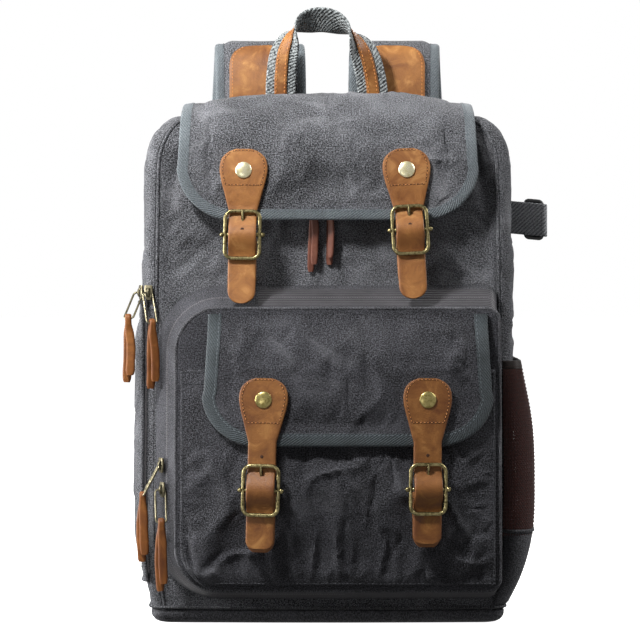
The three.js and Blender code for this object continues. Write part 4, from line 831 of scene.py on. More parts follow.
def body_section(v):
    """Height and half sizes of the body, up its wall from 0 to 1 and over the shoulder to 2"""
    at = np.clip(v, 0, 1)
    angle = np.maximum(v - 1, 0) * math.pi / 2
    turn = 1 - np.cos(angle)
    foot = BASE_HEIGHT + GAP
    return {
        "z": np.where(v <= 1, lerp(foot, SHOULDER_START, np.minimum(v, 1)),
                      SHOULDER_START + SHOULDER_HEIGHT * np.sin(angle)),
        "half": BODY_WIDTH / 2 * sample(BODY_SECTIONS, 1, at) - SHOULDER_WIDTH * turn,
        "front": BODY_FRONT * sample(BODY_SECTIONS, 2, at) - SHOULDER_DEPTH * turn,
        "back": BODY_BACK * sample(BODY_SECTIONS, 3, at) - SHOULDER_DEPTH * turn,
        "crown": np.cos(angle),
    }


def section_at(v):
    """One section's sizes as plain numbers"""
    return {key: float(value) for key, value in body_section(np.array(v, float)).items()}


def height_share(z):
    """How far up the upright wall a height is"""
    return (z - BASE_HEIGHT - GAP) / (SHOULDER_START - BASE_HEIGHT - GAP)


def share_at(z):
    """The body's share for a height, shoulder too"""
    above = np.clip((z - SHOULDER_START) / SHOULDER_HEIGHT, 0, 1)
    return np.where(z <= SHOULDER_START, height_share(z), 1 + 2 / math.pi * np.arcsin(above))


def body_point(p, v):
    """Point on the body. p is 0 at the front's middle, 1 to 2 round the front corner, 2 to 3 on the side,
    3 to 4 round the back corner and 5 at the back's middle, negative on the left."""
    p, v = np.broadcast_arrays(np.asarray(p, float), np.asarray(v, float))
    mirrored = (p < 0) | (p > 5)
    q = np.where(p > 5, 10 - p, np.abs(p))
    s = body_section(v)
    flat = s["half"] - CORNER_RADIUS
    a = (q - 1) * math.pi / 2
    b = (q - 3) * math.pi / 2
    r = CORNER_RADIUS
    ranges = [q <= 1, q <= 2, q <= 3, q <= 4, q > 4]
    x = np.select(ranges, [flat * q, flat + r * np.sin(a),
                           s["half"] + SIDE_CROWN * s["crown"] * np.sin((q - 2) * math.pi),
                           flat + r * np.cos(b), flat * (5 - q)])
    y = np.select(ranges, [-s["front"] - FRONT_CROWN * s["crown"] * (1 - q * q),
                           -s["front"] + r * (1 - np.cos(a)), lerp(-s["front"] + r, s["back"] - r, q - 2),
                           s["back"] - r * (1 - np.sin(b)), s["back"]])
    return stack(np.where(mirrored, -x, x), y, s["z"])


def body_front(x, z):
    """How far forward the body's front stands"""
    s = body_section(height_share(z))
    q = np.clip(x / (s["half"] - CORNER_RADIUS), -1, 1)
    return s["front"] + FRONT_CROWN * s["crown"] * (1 - q * q)


def outward_of(surface, u, v):
    """Outward direction of a surface at its places u and v"""
    step = 1e-3
    along = surface(u + step, v) - surface(u - step, v)
    rise = surface(u, v + step) - surface(u, v - step)
    return unit(np.cross(along, rise))


def face_at(x, z):
    """How far forward the organiser's face stands"""
    o = ORGANISER
    across = (2 * x - o["left"] - o["right"]) / (o["right"] - o["left"])
    up = (2 * z - o["bottom"] - o["top"]) / (o["top"] - o["bottom"])
    bulge = ORGANISER_BULGE * np.maximum(1 - across ** 2, 0) * np.maximum(1 - up ** 2, 0)
    return body_section(height_share(z))["front"] + ORGANISER_DEPTH + bulge


def face_edges(z):
    """Left and right edges of the organiser's face at a height"""
    def draw(radius):
        into = np.maximum(radius - np.minimum(z - ORGANISER["bottom"], ORGANISER["top"] - z), 0)
        return radius - np.sqrt(np.maximum(radius * radius - into * into, 0))
    return ORGANISER["left"] + draw(ORGANISER_ROUND), ORGANISER["right"] - draw(HINGE_ROUND)


def pocket_stand(x, z):
    """How far the front pocket stands off the organiser's face"""
    left, right = face_edges(z)
    across = (2 * x - left - right) / (right - left - 2 * POCKET_MARGIN)
    up = (z - POCKET_BOTTOM) / (POCKET_TOP - POCKET_BOTTOM)
    rise = np.sin(math.pi / 2 * np.clip(up / 0.35, 0, 1))
    return GAP + POCKET_DEPTH * np.maximum(1 - across ** 4, 0) * rise


def rounded_outline(left, right, bottom, top, rounds, line_steps, arc_steps):
    """Points round a rounded rectangle, anticlockwise from its lower left corner"""
    corners = ((left, bottom, 1, 1, math.pi), (right, bottom, -1, 1, 1.5 * math.pi),
               (right, top, -1, -1, 0), (left, top, 1, -1, 0.5 * math.pi))
    arcs = []
    for (x, y, sx, sy, start), radius in zip(corners, rounds):
        turn = start + np.linspace(0, math.pi / 2, arc_steps + 1)
        arcs.append(np.stack([x + radius * (sx + np.cos(turn)), y + radius * (sy + np.sin(turn))], 1))
    parts = []
    for i, arc in enumerate(arcs):
        line = np.linspace(arc[-1], arcs[(i + 1) % 4][0], line_steps + 1)[1:-1]
        parts += [arc, line]
    return np.vstack(parts)


def organiser_outline(spread, inset=0.0):
    """Outline of the organiser, from its face at spread 0 to its foot on the body at 1"""
    radius = ORGANISER_ROUND + GUSSET_SPREAD * spread - inset
    hinge = HINGE_ROUND - inset
    left = ORGANISER["left"] - GUSSET_SPREAD * spread + inset
    right = ORGANISER["right"] + GUSSET_HINGE_SPREAD * spread - inset
    bottom = ORGANISER["bottom"] - GUSSET_FOOT_SPREAD * spread + inset
    top = ORGANISER["top"] + GUSSET_SPREAD * spread - inset
    return rounded_outline(left, right, bottom, top, (radius, hinge, hinge, radius), 70, 12)


def gusset_line(share, inset=0.0, lift=0.0):
    """Line round the gusset, from its foot at 0 to its lip at 1"""
    foot = organiser_outline(1, inset)
    lip = organiser_outline(0, inset)
    foot = stack(foot[:, 0], -body_front(foot[:, 0], foot[:, 1]) - GUSSET_STAND, foot[:, 1])
    lip = stack(lip[:, 0], -face_at(lip[:, 0], lip[:, 1]) + ORGANISER_WALL + GAP, lip[:, 1])
    line = lerp(foot, lip, share)
    if lift:
        around = np.roll(line, -1, axis=0) - np.roll(line, 1, axis=0)
        line = line + unit(np.cross(around, lip - foot)) * -lift
    return line


PROFILE = resample(spline(np.array([
    (0, -BODY_FRONT - TOP_FLAP_STAND * stand, z) for stand, z in (
        (1, TOP_FLAP_HEM), (0.94, lerp(TOP_FLAP_HEM, BODY_HEIGHT, 0.25)),
        (0.8, lerp(TOP_FLAP_HEM, BODY_HEIGHT, 0.5)), (0.5, lerp(TOP_FLAP_HEM, BODY_HEIGHT, 0.78)),
        (-0.12, BODY_HEIGHT + 0.12 * TOP_FLAP_RISE))
] + [
    (0, -0.5 * BODY_FRONT, BODY_HEIGHT + 0.82 * TOP_FLAP_RISE),
    (0, 0.1 * BODY_BACK, BODY_HEIGHT + TOP_FLAP_RISE),
    (0, 0.55 * TOP_FLAP_BACK_EDGE, BODY_HEIGHT + 0.72 * TOP_FLAP_RISE),
    (0, TOP_FLAP_BACK_EDGE, BODY_HEIGHT + BINDING_WALL / 2 + 1.5 * GAP),
]), np.linspace(0, 1, 801)), 401)
PROFILE_MARKS = np.linspace(0, 1, 401)
PROFILE_SLOPE = tangents(PROFILE)


def top_flap_half(up):
    """Half the top flap's width"""
    return lerp(TOP_FLAP_WIDTH, TOP_FLAP_NECK, smooth(up / 0.6)) / 2


def top_flap_point(x, up):
    """Point on the top flap, from its hem at 0 over the top to its back edge at 1"""
    x, up = np.broadcast_arrays(np.asarray(x, float), np.clip(up, 0, 1))
    y, z = (np.interp(up, PROFILE_MARKS, PROFILE[:, i]) for i in (1, 2))
    ty, tz = (np.interp(up, PROFILE_MARKS, PROFILE_SLOPE[:, i]) for i in (1, 2))
    droop = TOP_FLAP_DROOP * sample(FLAP_DROOPS, 1, up) * (np.abs(x) / (TOP_FLAP_WIDTH / 2)) ** 2.4
    return stack(x, y + droop * tz, z - droop * ty)


def front_flap_half(up):
    """Half the front flap's width"""
    return lerp(FRONT_FLAP_WIDTH, FRONT_FLAP_NECK, smooth(up)) / 2


def front_flap_point(x, up):
    """Point on the front flap, from its hem at 0 to its seam at 1"""
    z = lerp(FRONT_FLAP_HEM, FRONT_FLAP_TOP, np.asarray(up, float))
    across = np.asarray(x, float) + FRONT_FLAP_CENTRE
    full = smooth((FRONT_FLAP_TOP - z) / (0.75 * (FRONT_FLAP_TOP - POCKET_TOP)))
    pocket = POCKET_WALL + pocket_stand(across, np.minimum(z, POCKET_TOP))
    share = np.abs(x) / (FRONT_FLAP_WIDTH / 2)
    spring = FRONT_FLAP_SPRING * (1 - share ** 3) * full
    return stack(across, -face_at(across, z) - FRONT_FLAP_CLEARANCE - pocket * full - spring, z)


FLAPS = {
    "top": {"point": top_flap_point, "half": top_flap_half, "centre": 0, "width": TOP_FLAP_WIDTH,
            "hem": TOP_FLAP_HEM, "round": TOP_FLAP_ROUND},
    "front": {"point": front_flap_point, "half": front_flap_half, "centre": FRONT_FLAP_CENTRE,
              "width": FRONT_FLAP_WIDTH, "hem": FRONT_FLAP_HEM, "round": FRONT_FLAP_ROUND},
}


# Belts' lines, which the flaps under them need too


def placed(row):
    """A belt's row with its shares made into heights and places"""
    flap = FLAPS[row["flap"]]
    half = flap["width"] / 2
    buckle = flap["hem"] - row["buckle"] * BUCKLE_HEIGHT
    return {**row, "across": flap["centre"] + row["across"] * half,
            "tip_across": flap["centre"] + row["tip_across"] * half,
            "tab": flap["hem"] + row["tab"] * TAB_LENGTH, "buckle": buckle,
            "tip": buckle - row["tip"] * TAB_LENGTH, "chape": buckle - row["chape"] * TAB_LENGTH,
            "free": max(flap["hem"], buckle + BUCKLE_HEIGHT / 2 + 3)}


PLACED_BELTS = [placed(row) for row in BELTS]


def belt_x(belt, z):
    """Middle of a belt, which may hang aslant"""
    return lerp(belt["across"], belt["tip_across"], (belt["tab"] - z) / (belt["tab"] - belt["tip"]))


def belt_frames(belt, z):
    """Middle of the belt at heights z, with its directions across, out and up"""
    flap = FLAPS[belt["flap"]]
    ups = np.linspace(0, 0.75, 500)

    def line(height):
        x = belt_x(belt, height) - flap["centre"]
        held = np.maximum(height, belt["free"])
        up = np.array([np.interp(h, flap["point"](at, ups)[:, 2], ups) for at, h in zip(x, held)])
        out = outward_of(flap["point"], x, up)
        point = flap["point"](x, up) + out * ((BINDING_WALL + BELT_WALL) / 2 + GAP)
        point[:, 0] = belt_x(belt, height)
        loose = height < belt["free"]
        edge_y = point[np.argmin(np.abs(height - belt["free"])), 1]
        point[loose, 1] = edge_y - belt["lean"] * (belt["free"] - height[loose])
        point[loose, 2] = height[loose]
        slope = flap["point"](x + 1, up) - flap["point"](x - 1, up)
        return point, slope

    marks = np.arange(belt["tip"] - 4, belt["tab"] + 4, 0.5)
    points, slopes = line(marks)

    def at(values):
        return np.stack([np.interp(z, marks, values[:, i]) for i in range(3)], 1)
    tangent = unit(at(tangents(points)))
    across = square_to(tangent, at(slopes))
    return at(points), across, np.cross(across, tangent), tangent


def belt_spot(belt, z):
    """Middle and directions of the belt at one height"""
    return [values[0] for values in belt_frames(belt, np.array([z]))]


def weave(belt, z):
    """How far the belt rises over its buckle's bar"""
    share = np.clip(2 * np.abs(z - belt["buckle"]) / (BUCKLE_HEIGHT - BUCKLE_WIRE), 0, 1)
    return WEAVE * (1 + np.cos(math.pi * share))


def under_belts(points, flap_name):
    """How much of each point lies under a belt, from 0 to 1"""
    covered = np.zeros(points.shape[:-1])
    z = points[..., 2]
    for belt in PLACED_BELTS:
        if belt["flap"] != flap_name:
            continue
        half = np.where(z > belt["tab"] - TAB_LENGTH, TAB_WIDTH, BELT_WIDTH) / 2 + 2
        beside = np.abs(points[..., 0] - belt_x(belt, z)) - half
        above = z - belt["tab"] - 2
        covered = np.maximum(covered, smooth(1 - np.maximum(beside, above) / 12))
    return covered


def sewn_edges(grid, reach, sides=(1, 1, 1, 1)):
    """Freedom from 0 on the sewn edges to 1 inside. Sides are bottom, right, top and left."""
    rows, columns = grid.shape[:2]
    up, right = np.mgrid[:rows, :columns]
    distances = (up, columns - 1 - right, rows - 1 - up, right)
    inset = np.min([distance for used, distance in zip(sides, distances) if used], axis=0)
    return smooth(inset / reach)


# Body


def body_rows(step=2.6):
    """Shares of the body's rows, closer than a step in millimetres"""
    upright = np.linspace(0, 1, int(360 / step) + 1)
    return np.concatenate([upright, np.linspace(1, 2, int(70 / step) + 1)[1:]])


def shoulder_share(grid):
    """Less play for the cloth where it is stretched over the shoulders"""
    return lerp(1, 0.3, smooth((grid[..., 2] - SHOULDER_START + 15) / 25))


def near_gusset(grid):
    """Share of the front panel that the organiser presses on"""
    inside = np.minimum(grid[..., 0] - ORGANISER["left"] + 30, ORGANISER["right"] + 8 - grid[..., 0])
    inside = np.minimum(inside, ORGANISER["top"] + 26 - grid[..., 2])
    return smooth(inside / 8 + 1)


def build_front():
    rows = body_rows()[:, None]
    seam = GAP / (BODY_WIDTH / 2 - CORNER_RADIUS)
    columns = np.linspace(-1 + seam, 1 - seam, 111)[None, :]
    grid = body_point(columns, rows)
    free = sewn_edges(grid, 5)
    cap = lerp(3.6, 0.5, near_gusset(grid)) * shoulder_share(grid)
    grid = drape(grid, free, cap, pressure=2.5, slack=0.03)
    fold = creases(grid, 42, 1, (1, 1, 1.6)) - 0.6 * ripple(grid, 60, 2)
    grid = raised(grid, fold * 2.0 * free * (1 - near_gusset(grid)))
    shape = add_cloth(Shape(), grid, BODY_WALL)
    front = finish_piece("front_canvas", shape, CANVAS, ["front_panel"])


def build_sides():
    rows = body_rows()[:, None]
    marks = np.concatenate([np.linspace(1, 2, 9), np.linspace(2, 3, 37)[1:], np.linspace(3, 4, 9)[1:]])
    for side, name in ((1, "right"), (-1, "left")):
        places = np.sort(side * marks)[None, :]
        grid = body_point(places, rows)
        free = sewn_edges(grid, 5)
        span = BOTTLE_SPAN if side > 0 else tuple(sorted(-p for p in DOOR_SPAN))
        top = BOTTLE_TOP if side > 0 else DOOR_TOP + 8
        p = np.abs(places)
        beside = np.minimum(p - span[0] + 0.1, span[1] + 0.1 - p) * 8
        covered = smooth(np.minimum(beside, (top - grid[..., 2]) / 8) + 0.5)
        cap = lerp(2.6, 0.35, covered) * shoulder_share(grid)
        grid = drape(grid, free, cap, pressure=2.0, slack=0.03)
        fold = creases(grid, 38, 5 + side, (1, 1, 1.5)) - 0.5 * ripple(grid, 55, 8 + side)
        grid = raised(grid, fold * free * (1 - covered))
        shape = add_cloth(Shape(), grid, BODY_WALL)
        panel = finish_piece("side_canvas_" + name, shape, CANVAS, ["side_panel_" + name])


def build_piping():
    seams = Shape()
    heights = np.linspace(0.0, 2, 110)
    for p in (-4, -1, 1, 4):
        line = body_point(np.full(len(heights), float(p)), heights)
        beside = np.full(len(heights), p + 0.02 * np.sign(p))
        out = outward_of(body_point, beside, np.minimum(heights, 1.99))
        add_tube(seams, line + out * (-1.0 if abs(p) == 1 else 0.9), PIPING["seam"], normal=out)
    rim = np.linspace(-5, 5, 260)[:-1]
    for height, radius in ((0.006, 1.3), (2, 1.4)):
        line = body_point(rim, np.full(len(rim), height))
        add_tube(seams, line + unit(line * (1, 1, 0)) * 0.7, radius, looped=True, normal=UP)
    finish_piece("body_piping", seams, CANVAS)


def build_back():
    rows = body_rows(3.2)[:, None]
    seam = 4 * GAP / (BODY_WIDTH / 2 - CORNER_RADIUS)
    places = np.linspace(4 + seam, 6 - seam, 91)[None, :]
    grid = body_point(places, rows)
    free = sewn_edges(grid, 4)
    grid = drape(grid, free, 1.5, pressure=3.0, slack=0.02)
    out = normals_of(grid)
    x, z = np.abs(grid[..., 0]), grid[..., 2]

    # Two upright channels beside the spine, and two across from them to the sides
    channel = np.abs(x - CHANNEL_PLACE)
    for height in CHANNEL_HEIGHTS:
        channel = np.minimum(channel, np.where(x < CHANNEL_PLACE, BODY_WIDTH, np.abs(z - height)))
    grid = grid - out * (CHANNEL_DEPTH * np.exp(-(channel / CHANNEL_REACH) ** 2) * free)[..., None]
    grid = grid + out * (0.5 * ripple(grid, 50, 11) * free)[..., None]
    shape = add_cloth(Shape(), grid, BACK_PAD - 3)
    back = finish_piece("back_mesh_pad", shape, MESH, ["back_panel"])


def build_top():
    rim = section_at(2)
    half = rim["half"] - 2 * GAP
    low, high = -rim["front"] + 2 * GAP, rim["back"] - 2 * GAP
    u = np.linspace(-1, 1, 81)[None, :]
    v = np.linspace(-1, 1, 41)[:, None]
    shrink = CORNER_RADIUS * (1 - np.sqrt(np.maximum(1 - v ** 8, 0)))
    z = BODY_HEIGHT + 1.5 * (1 - u * u) * (1 - v * v)
    grid = stack(u * (half - shrink), lerp(low, high, (v + 1) / 2) + 0 * u, z)
    grid = drape(grid, sewn_edges(grid, 5), 0.5, pressure=1.5)
    top = finish_piece("top_canvas", add_cloth(Shape(), grid, 2.6), CANVAS, ["top_panel"])


def build_base():
    foot = section_at(0)
    places = np.linspace(-5, 5, 221)[:-1]
    at = body_point(places, np.zeros(len(places)))

    def ring(inset, height):
        share = stack(1 - inset / foot["half"], 1 - inset / foot["front"], 1)
        return at * share * (1, 1, 0) + (0, 0, height)
    turns = np.linspace(0, math.pi / 2, 9)
    rings = [ring(BASE_ROUND * (1 - math.sin(a)) + 6 * k, BASE_ROUND * (1 - math.cos(a)))
             for a, k in zip(turns, [1] + [0] * 8)]
    rings += [ring(0, BASE_HEIGHT * 0.9), ring(0.4, BASE_HEIGHT)]
    uv = np.array([at[:, :2] + (0, k) for k in range(len(rings))])
    shape = add_loft(Shape(), np.array(rings), uv=uv)
    base = finish_piece("base_canvas_pad", shape, BASE, ["base_panel"])


# Organiser, with the parts of its outline that the zipper and the tape are on

ZIP_TOP_AND_LEFT = slice(168, None)
ZIP_FOOT = slice(0, 46)
TAPE_TOP = slice(168, 237)
TAPE_FOOT = slice(4, 92)


def organiser_grid(margin, low, high, step=2.4):
    """Places across and up on the organiser's face, a margin inside its edges"""
    heights = edged(low, high, step)[:, None]
    width = ORGANISER["right"] - ORGANISER["left"]
    shares = edged(0, 1, step / width, (0.3 / width, 0.9 / width, 1.8 / width))[None, :]
    left, right = face_edges(heights)
    return lerp(left + margin, right - margin, shares), heights + 0 * shares


def build_gusset():
    shares = np.linspace(0, 1, 13)
    pillow = np.sin(shares * math.pi) * 0.5
    outer = np.array([gusset_line(s, 0, p) for s, p in zip(shares, pillow)])
    inner = np.array([gusset_line(s, ORGANISER_WALL) for s in (1, 0.5, 0)])
    rings = np.concatenate([outer, inner]).transpose(1, 0, 2)
    around = lengths(np.vstack([outer[0], outer[0][:1]]))[:-1]
    widths = np.concatenate([shares, (1, 0.5, 0)]) * 38
    uv = grid_uv(widths, around)
    # The darker canvas copy paints the shade of the lower front.
    gusset = finish_piece("gusset_canvas", add_loft(Shape(), rings, True, uv), CANVAS_SHADED,
                          ["organiser_gusset"])

    # The zipper runs along the top, down the left and round to the bottom's middle. Its tape shows along
    # the whole top and bottom.
    def part(line):
        return np.vstack([line[ZIP_TOP_AND_LEFT], line[ZIP_FOOT]])
    band = Shape()
    for shown in (TAPE_TOP, TAPE_FOOT):
        sections = np.array([gusset_line(s, 0, h)[shown] for s, h in (
            (0.12, 0.2), (0.14, 0.9), (0.3, 1.3), (0.46, 1.2), (0.485, 0.7), (0.515, 0.7), (0.54, 1.2),
            (0.7, 1.3), (0.86, 0.9), (0.88, 0.2), (0.7, 0.3), (0.3, 0.3))]).transpose(1, 0, 2)
        across = np.array([0, 1, 7, 14, 16, 17, 18, 24, 30, 31, 24, 7.0])
        add_loft(band, sections, uv=grid_uv(across, lengths(sections[:, 4])))
    finish_piece("organiser_zip_tape", band, ZIP_TAPE, pieces_under=gusset)
    teeth = Shape()
    line = part(gusset_line(0.5, 0, 0.9))
    slope = part(gusset_line(1)) - part(gusset_line(0))
    add_beads(teeth, line, -unit(np.cross(tangents(line), slope)), *ORGANISER_TEETH)
    finish_piece("organiser_zip_teeth", teeth, COIL, pieces_under=gusset)


def build_organiser_face():
    """Face of the organiser, bound with piping"""
    x, z = organiser_grid(0, ORGANISER["bottom"] + 0.05, ORGANISER["top"] - 0.05)
    grid = stack(x, -face_at(x, z), z)
    free = sewn_edges(grid, 5)
    grid = raised(grid, 0.3 * creases(grid, 40, 21) * free)
    shape = add_cloth(Shape(), grid, ORGANISER_WALL)
    # The darker canvas copy paints the shade of the lower front.
    face = finish_piece("organiser_canvas", shape, CANVAS_SHADED, ["organiser_face"])

    piping = Shape()
    edge = organiser_outline(0, -0.6)
    edge = stack(edge[:, 0], -face_at(edge[:, 0], edge[:, 1]) + 1.4, edge[:, 1])
    add_tube(piping, edge, PIPING["organiser"], looped=True, sides=10)
    finish_piece("organiser_piping", piping, BASE, pieces_under=face)


def build_front_pocket():
    """Patch pocket, which bulges over what it holds"""
    x, z = organiser_grid(POCKET_MARGIN, POCKET_BOTTOM, POCKET_TOP, 2.2)
    grid = stack(x, -face_at(x, z) - pocket_stand(x, z) - POCKET_WALL, z)
    free = sewn_edges(grid, 7, (1, 1, 0, 1))
    under_flap = smooth((z - FRONT_FLAP_HEM + 6) / 12)
    cap = lerp(6.0, 0.8, under_flap)
    grid = drape(grid, free * lerp(1, 0.35, under_flap), cap, pressure=1.2, slack=0.045)
    fold = creases(grid, 46, 31, (1, 1, 1.2)) * 3.0 - 1.6 * ripple(grid, 60, 32)
    grid = raised(grid, fold * free * (1 - under_flap))
    grid = raised(grid, 0.6 * smooth((z - POCKET_TOP + 12) / 1.5))
    shape = add_cloth(Shape(), grid, POCKET_WALL)
    # The darker canvas copy paints the shade of the lower front.
    pocket = finish_piece("pocket_canvas", shape, CANVAS_SHADED, ["front_pocket"])
    stitch = Shape()
    out = normals_of(grid)
    hem_rows = [int(np.argmin(np.abs(z[:, 0] - (POCKET_TOP - offset)))) for offset in (2.5, 10)]
    seams = [np.s_[row] for row in hem_rows] + [np.s_[:, 3], np.s_[:, -4], np.s_[3]]
    for seam in seams:
        add_beads(stitch, grid[seam] + out[seam] * 0.1, out[seam], *CANVAS_STITCH)
    finish_piece("pocket_stitches", stitch, THREAD, pieces_under=pocket)


# Flaps


def flap_edge(flap, length, inset, up):
    """Half width of a flap's cloth with its round corners"""
    into = np.maximum(flap["round"] - inset - (up * length - inset), 0)
    radius = flap["round"] - inset
    return flap["half"](up) - inset - (radius - np.sqrt(np.maximum(radius ** 2 - into ** 2, 0)))


def flap_rim(flap, length, inset):
    """Line of (across, up) an inset from a flap's edge, from the seam down, round the hem and up"""
    corner = flap["round"] / length
    down = np.linspace(1, corner, 70)
    radius = flap["round"]
    turn = np.linspace(0, math.pi / 2, 19)[1:]
    arc_x = flap["half"](0) - radius + (radius - inset) * np.cos(turn)
    arc_up = (radius - (radius - inset) * np.sin(turn)) / length
    side = np.stack([np.append(flap["half"](down) - inset, arc_x), np.append(down, arc_up)], 1)
    hem_x = np.linspace(side[-1, 0], -side[-1, 0], 80)[1:-1]
    hem = np.stack([hem_x, np.full(len(hem_x), inset / length)], 1)
    return np.vstack([side, hem, (side * (-1, 1))[::-1]])


BINDING_SECTION = (
    (0, 0.45), (0.02, 0.9), (0.1, 1), (0.17, 0.9), (0.25, 1), (0.5, 1.06), (0.8, 1), (0.93, 0.8), (0.99, 0.4),
    (1, 0), (0.99, -0.4), (0.93, -0.8), (0.6, -1), (0.2, -1), (0.02, -0.9), (0, -0.45),
)


def build_flap(name, flap_name, wave, seed):
    """Draped cloth of a flap and the twill tape that binds it"""
    flap = FLAPS[flap_name]
    # The front flap takes the darker canvas and tape copies, which paint the shade of the lower front.
    finish, edging = (CANVAS, BINDING) if flap_name == "top" else (CANVAS_SHADED, BINDING_SHADED)
    bound = FLAP_BINDING[flap_name]
    middle = flap["point"](0, np.linspace(0, 1, 81))
    length = lengths(middle)[-1]
    low = (bound - 3) / length
    ups = edged(low * length, length, 2.3)[:, None] / length
    edges = flap_edge(flap, length, bound - 3, ups)
    shares = np.linspace(-1, 1, 105)[None, :]
    grid = flap["point"](shares * edges, ups + 0 * shares)
    free = sewn_edges(grid, 9)
    pressed = under_belts(grid, flap_name)
    grid = drape(grid, free, lerp(4.0, 0.25, pressed), pressure=1.6, slack=0.03)
    fold = wave * (creases(grid, 40, seed) * 2.2 - 1.2 * ripple(grid, 52, seed + 1))
    grid = raised(grid, (fold - 0.3 * pressed) * free)
    shape = add_cloth(Shape(), grid, FLAP_WALL, FLAP_WALL / 2, round_edges=False)
    cloth = finish_piece(name + "_canvas", shape, finish, [name])

    outer = flap_rim(flap, length, 0)
    inner = flap_rim(flap, length, bound)
    wobble = 0.35 * ripple(stack(outer[:, 0], outer[:, 1] * length, 0), 26, seed + 5)
    outer[:, 1] -= wobble / length * (outer[:, 1] < 0.1)
    outside = flap["point"](outer[:, 0], outer[:, 1])
    inside = flap["point"](inner[:, 0], inner[:, 1])
    out = outward_of(flap["point"], outer[:, 0], np.clip(outer[:, 1], 0.002, 0.998))
    rings = np.stack([lerp(inside, outside, s) + out * (h * BINDING_WALL / 2) for s, h in BINDING_SECTION], 1)
    uv = grid_uv(np.array([s for s, _ in BINDING_SECTION]) * bound, lengths(outside))
    binding = finish_piece(name + "_tape", add_loft(Shape(), rings, uv=uv), edging,
                           [name + "_binding"])
    stitch = Shape()
    add_beads(stitch, lerp(inside, outside, 0.17) + out * (0.92 * BINDING_WALL / 2), out, *FLAP_STITCH)
    finish_piece(name + "_stitches", stitch, PALE_THREAD, pieces_under=binding)


# Belts, buckles and rivets


def belt_width(belt, z):
    """Width of a belt: wide tab, straight strap and round tip"""
    from_top = (belt["tab"] - z) / TAB_LENGTH
    width = np.where(from_top < 1, TAB_WIDTH * sample(BELT_TAB, 1, from_top), BELT_WIDTH)
    start = belt["tip"] + belt["tip_round"]
    t = np.clip((start - z) / belt["tip_round"], 0, 1)
    width = width - 2 * belt["tip_round"] * (1 - np.sqrt(np.maximum(1 - t * t * 0.985, 0)))
    top = np.clip(from_top / 0.12, 0, 1)
    return np.maximum(width * lerp(0.82, 1, np.sqrt(top)), 3)


def buckle_shape(belt):
    """Ring, centre bar, its two balls and the prong"""
    centre, across, out, up = belt_spot(belt, belt["buckle"])
    centre = centre + out * WEAVE

    def put(x, y, z):
        return centre + stack(x, y, z) @ np.stack([across, out, up])
    half_x = (BUCKLE_WIDTH - BUCKLE_WIRE) / 2
    half_z = (BUCKLE_HEIGHT - BUCKLE_WIRE) / 2
    shape = Shape()
    ring = rounded_outline(-half_x, half_x, -half_z, half_z, [BUCKLE_ROUND] * 4, 14, 7)
    add_tube(shape, put(ring[:, 0], 0, ring[:, 1]), BUCKLE_WIRE / 2, True, 14, out)
    bar = np.linspace(-half_x, half_x, 13)
    add_tube(shape, put(bar, 0, 0), BUCKLE_BAR / 2, False, 10, out)
    turn = np.linspace(0.05, math.pi - 0.05, 11)
    for place, radius in ((half_x + 2.4, 2.0), (half_x - 2.6, 1.7)):
        for side in (-1, 1):
            ball = put(side * place - np.cos(turn) * radius, 0, 0)
            add_tube(shape, ball, np.sin(turn) * radius + 0.05, False, 14, out)
    rest = 0.45 * (BUCKLE_WIRE + PRONG_WIRE)
    bends = np.array([(0, 0), (0.3, -0.3 * WEAVE), (0.55, -0.25 * WEAVE), (0.78, 0.4 * WEAVE), (1.04, rest)])
    line = spline(stack(0, bends[:, 1], bends[:, 0] * half_z), np.linspace(0, 1, 24))
    taper = lerp(1, 0.72, np.linspace(0, 1, 24) ** 3) * PRONG_WIRE / 2
    add_tube(shape, put(0, line[:, 1], line[:, 2]), taper, False, 10, across)
    eye = np.linspace(0, 2 * math.pi, 17)[:-1]
    add_tube(shape, put(0, np.cos(eye) * 1.9, np.sin(eye) * 1.9), 1.0, True, 8, across)
    return shape


def lathe(profile, centre, across, out, up, sides=36):
    """Rings of a round body from radii and heights"""
    turn = np.linspace(0, 2 * math.pi, sides, endpoint=False)
    ring = np.cos(turn)[:, None] * across + np.sin(turn)[:, None] * up
    return np.array([centre + radius * ring + height * out for radius, height in profile])


def belt_strap(belt, finish):
    """The strap itself, with its stitches and needle holes"""
    name = belt["name"]
    z = edged(belt["tip"], belt["tab"], 1.5)
    centre, across, out, up = belt_frames(belt, z)
    width = belt_width(belt, z)
    lift = weave(belt, z)
    curl = 0.5 * ripple(stack(z, 0, 0), 30, len(name)) * smooth((belt["free"] - 25 - z) / 20)
    centre = centre + out * (lift + curl)[:, None]
    shape = add_band(Shape(), centre, across, out, width, BELT_WALL, columns=10)
    piece = finish_piece("leather_belt_" + name, shape, finish, ["belt_" + name], sharp=60)

    # Stitches run down both sides of the tab, over its top and across below the rivet.
    stitch = Shape()
    needles = Shape()
    half = width / 2 - 2.6
    box = belt["tab"] - belt["box"]
    span = (z > box) & (z < belt["tab"] - 2.2)
    rows = [((centre + across * (side * half)[:, None] + out * (BELT_WALL / 2))[span], out[span])
            for side in (-1, 1)]
    top = np.linspace(-1, 1, 9)
    for height, rise in ((belt["tab"] - 2.2, 0.6), (box, 0)):
        index = int(np.argmin(np.abs(z - height)))
        line = centre[index] + across[index] * (top * half[index])[:, None] + up[index] * (
            rise * (1 - top ** 2))[:, None] + out[index] * (BELT_WALL / 2)
        rows.append((line, np.repeat(out[[index]], 9, axis=0)))
    for line, face in rows:
        add_beads(stitch, line, face, *BELT_STITCH, lift=0.05)
        add_beads(needles, line, face, *BELT_NEEDLE_HOLE)
    finish_piece("belt_stitches_" + name, stitch, LEATHER_THREAD, pieces_under=piece)
    # Needle holes are dark beads under the stitches: painted shade of holes that are not cut.
    finish_piece("needle_holes_" + name, needles, HOLE_SHADE, pieces_under=piece)
    return piece


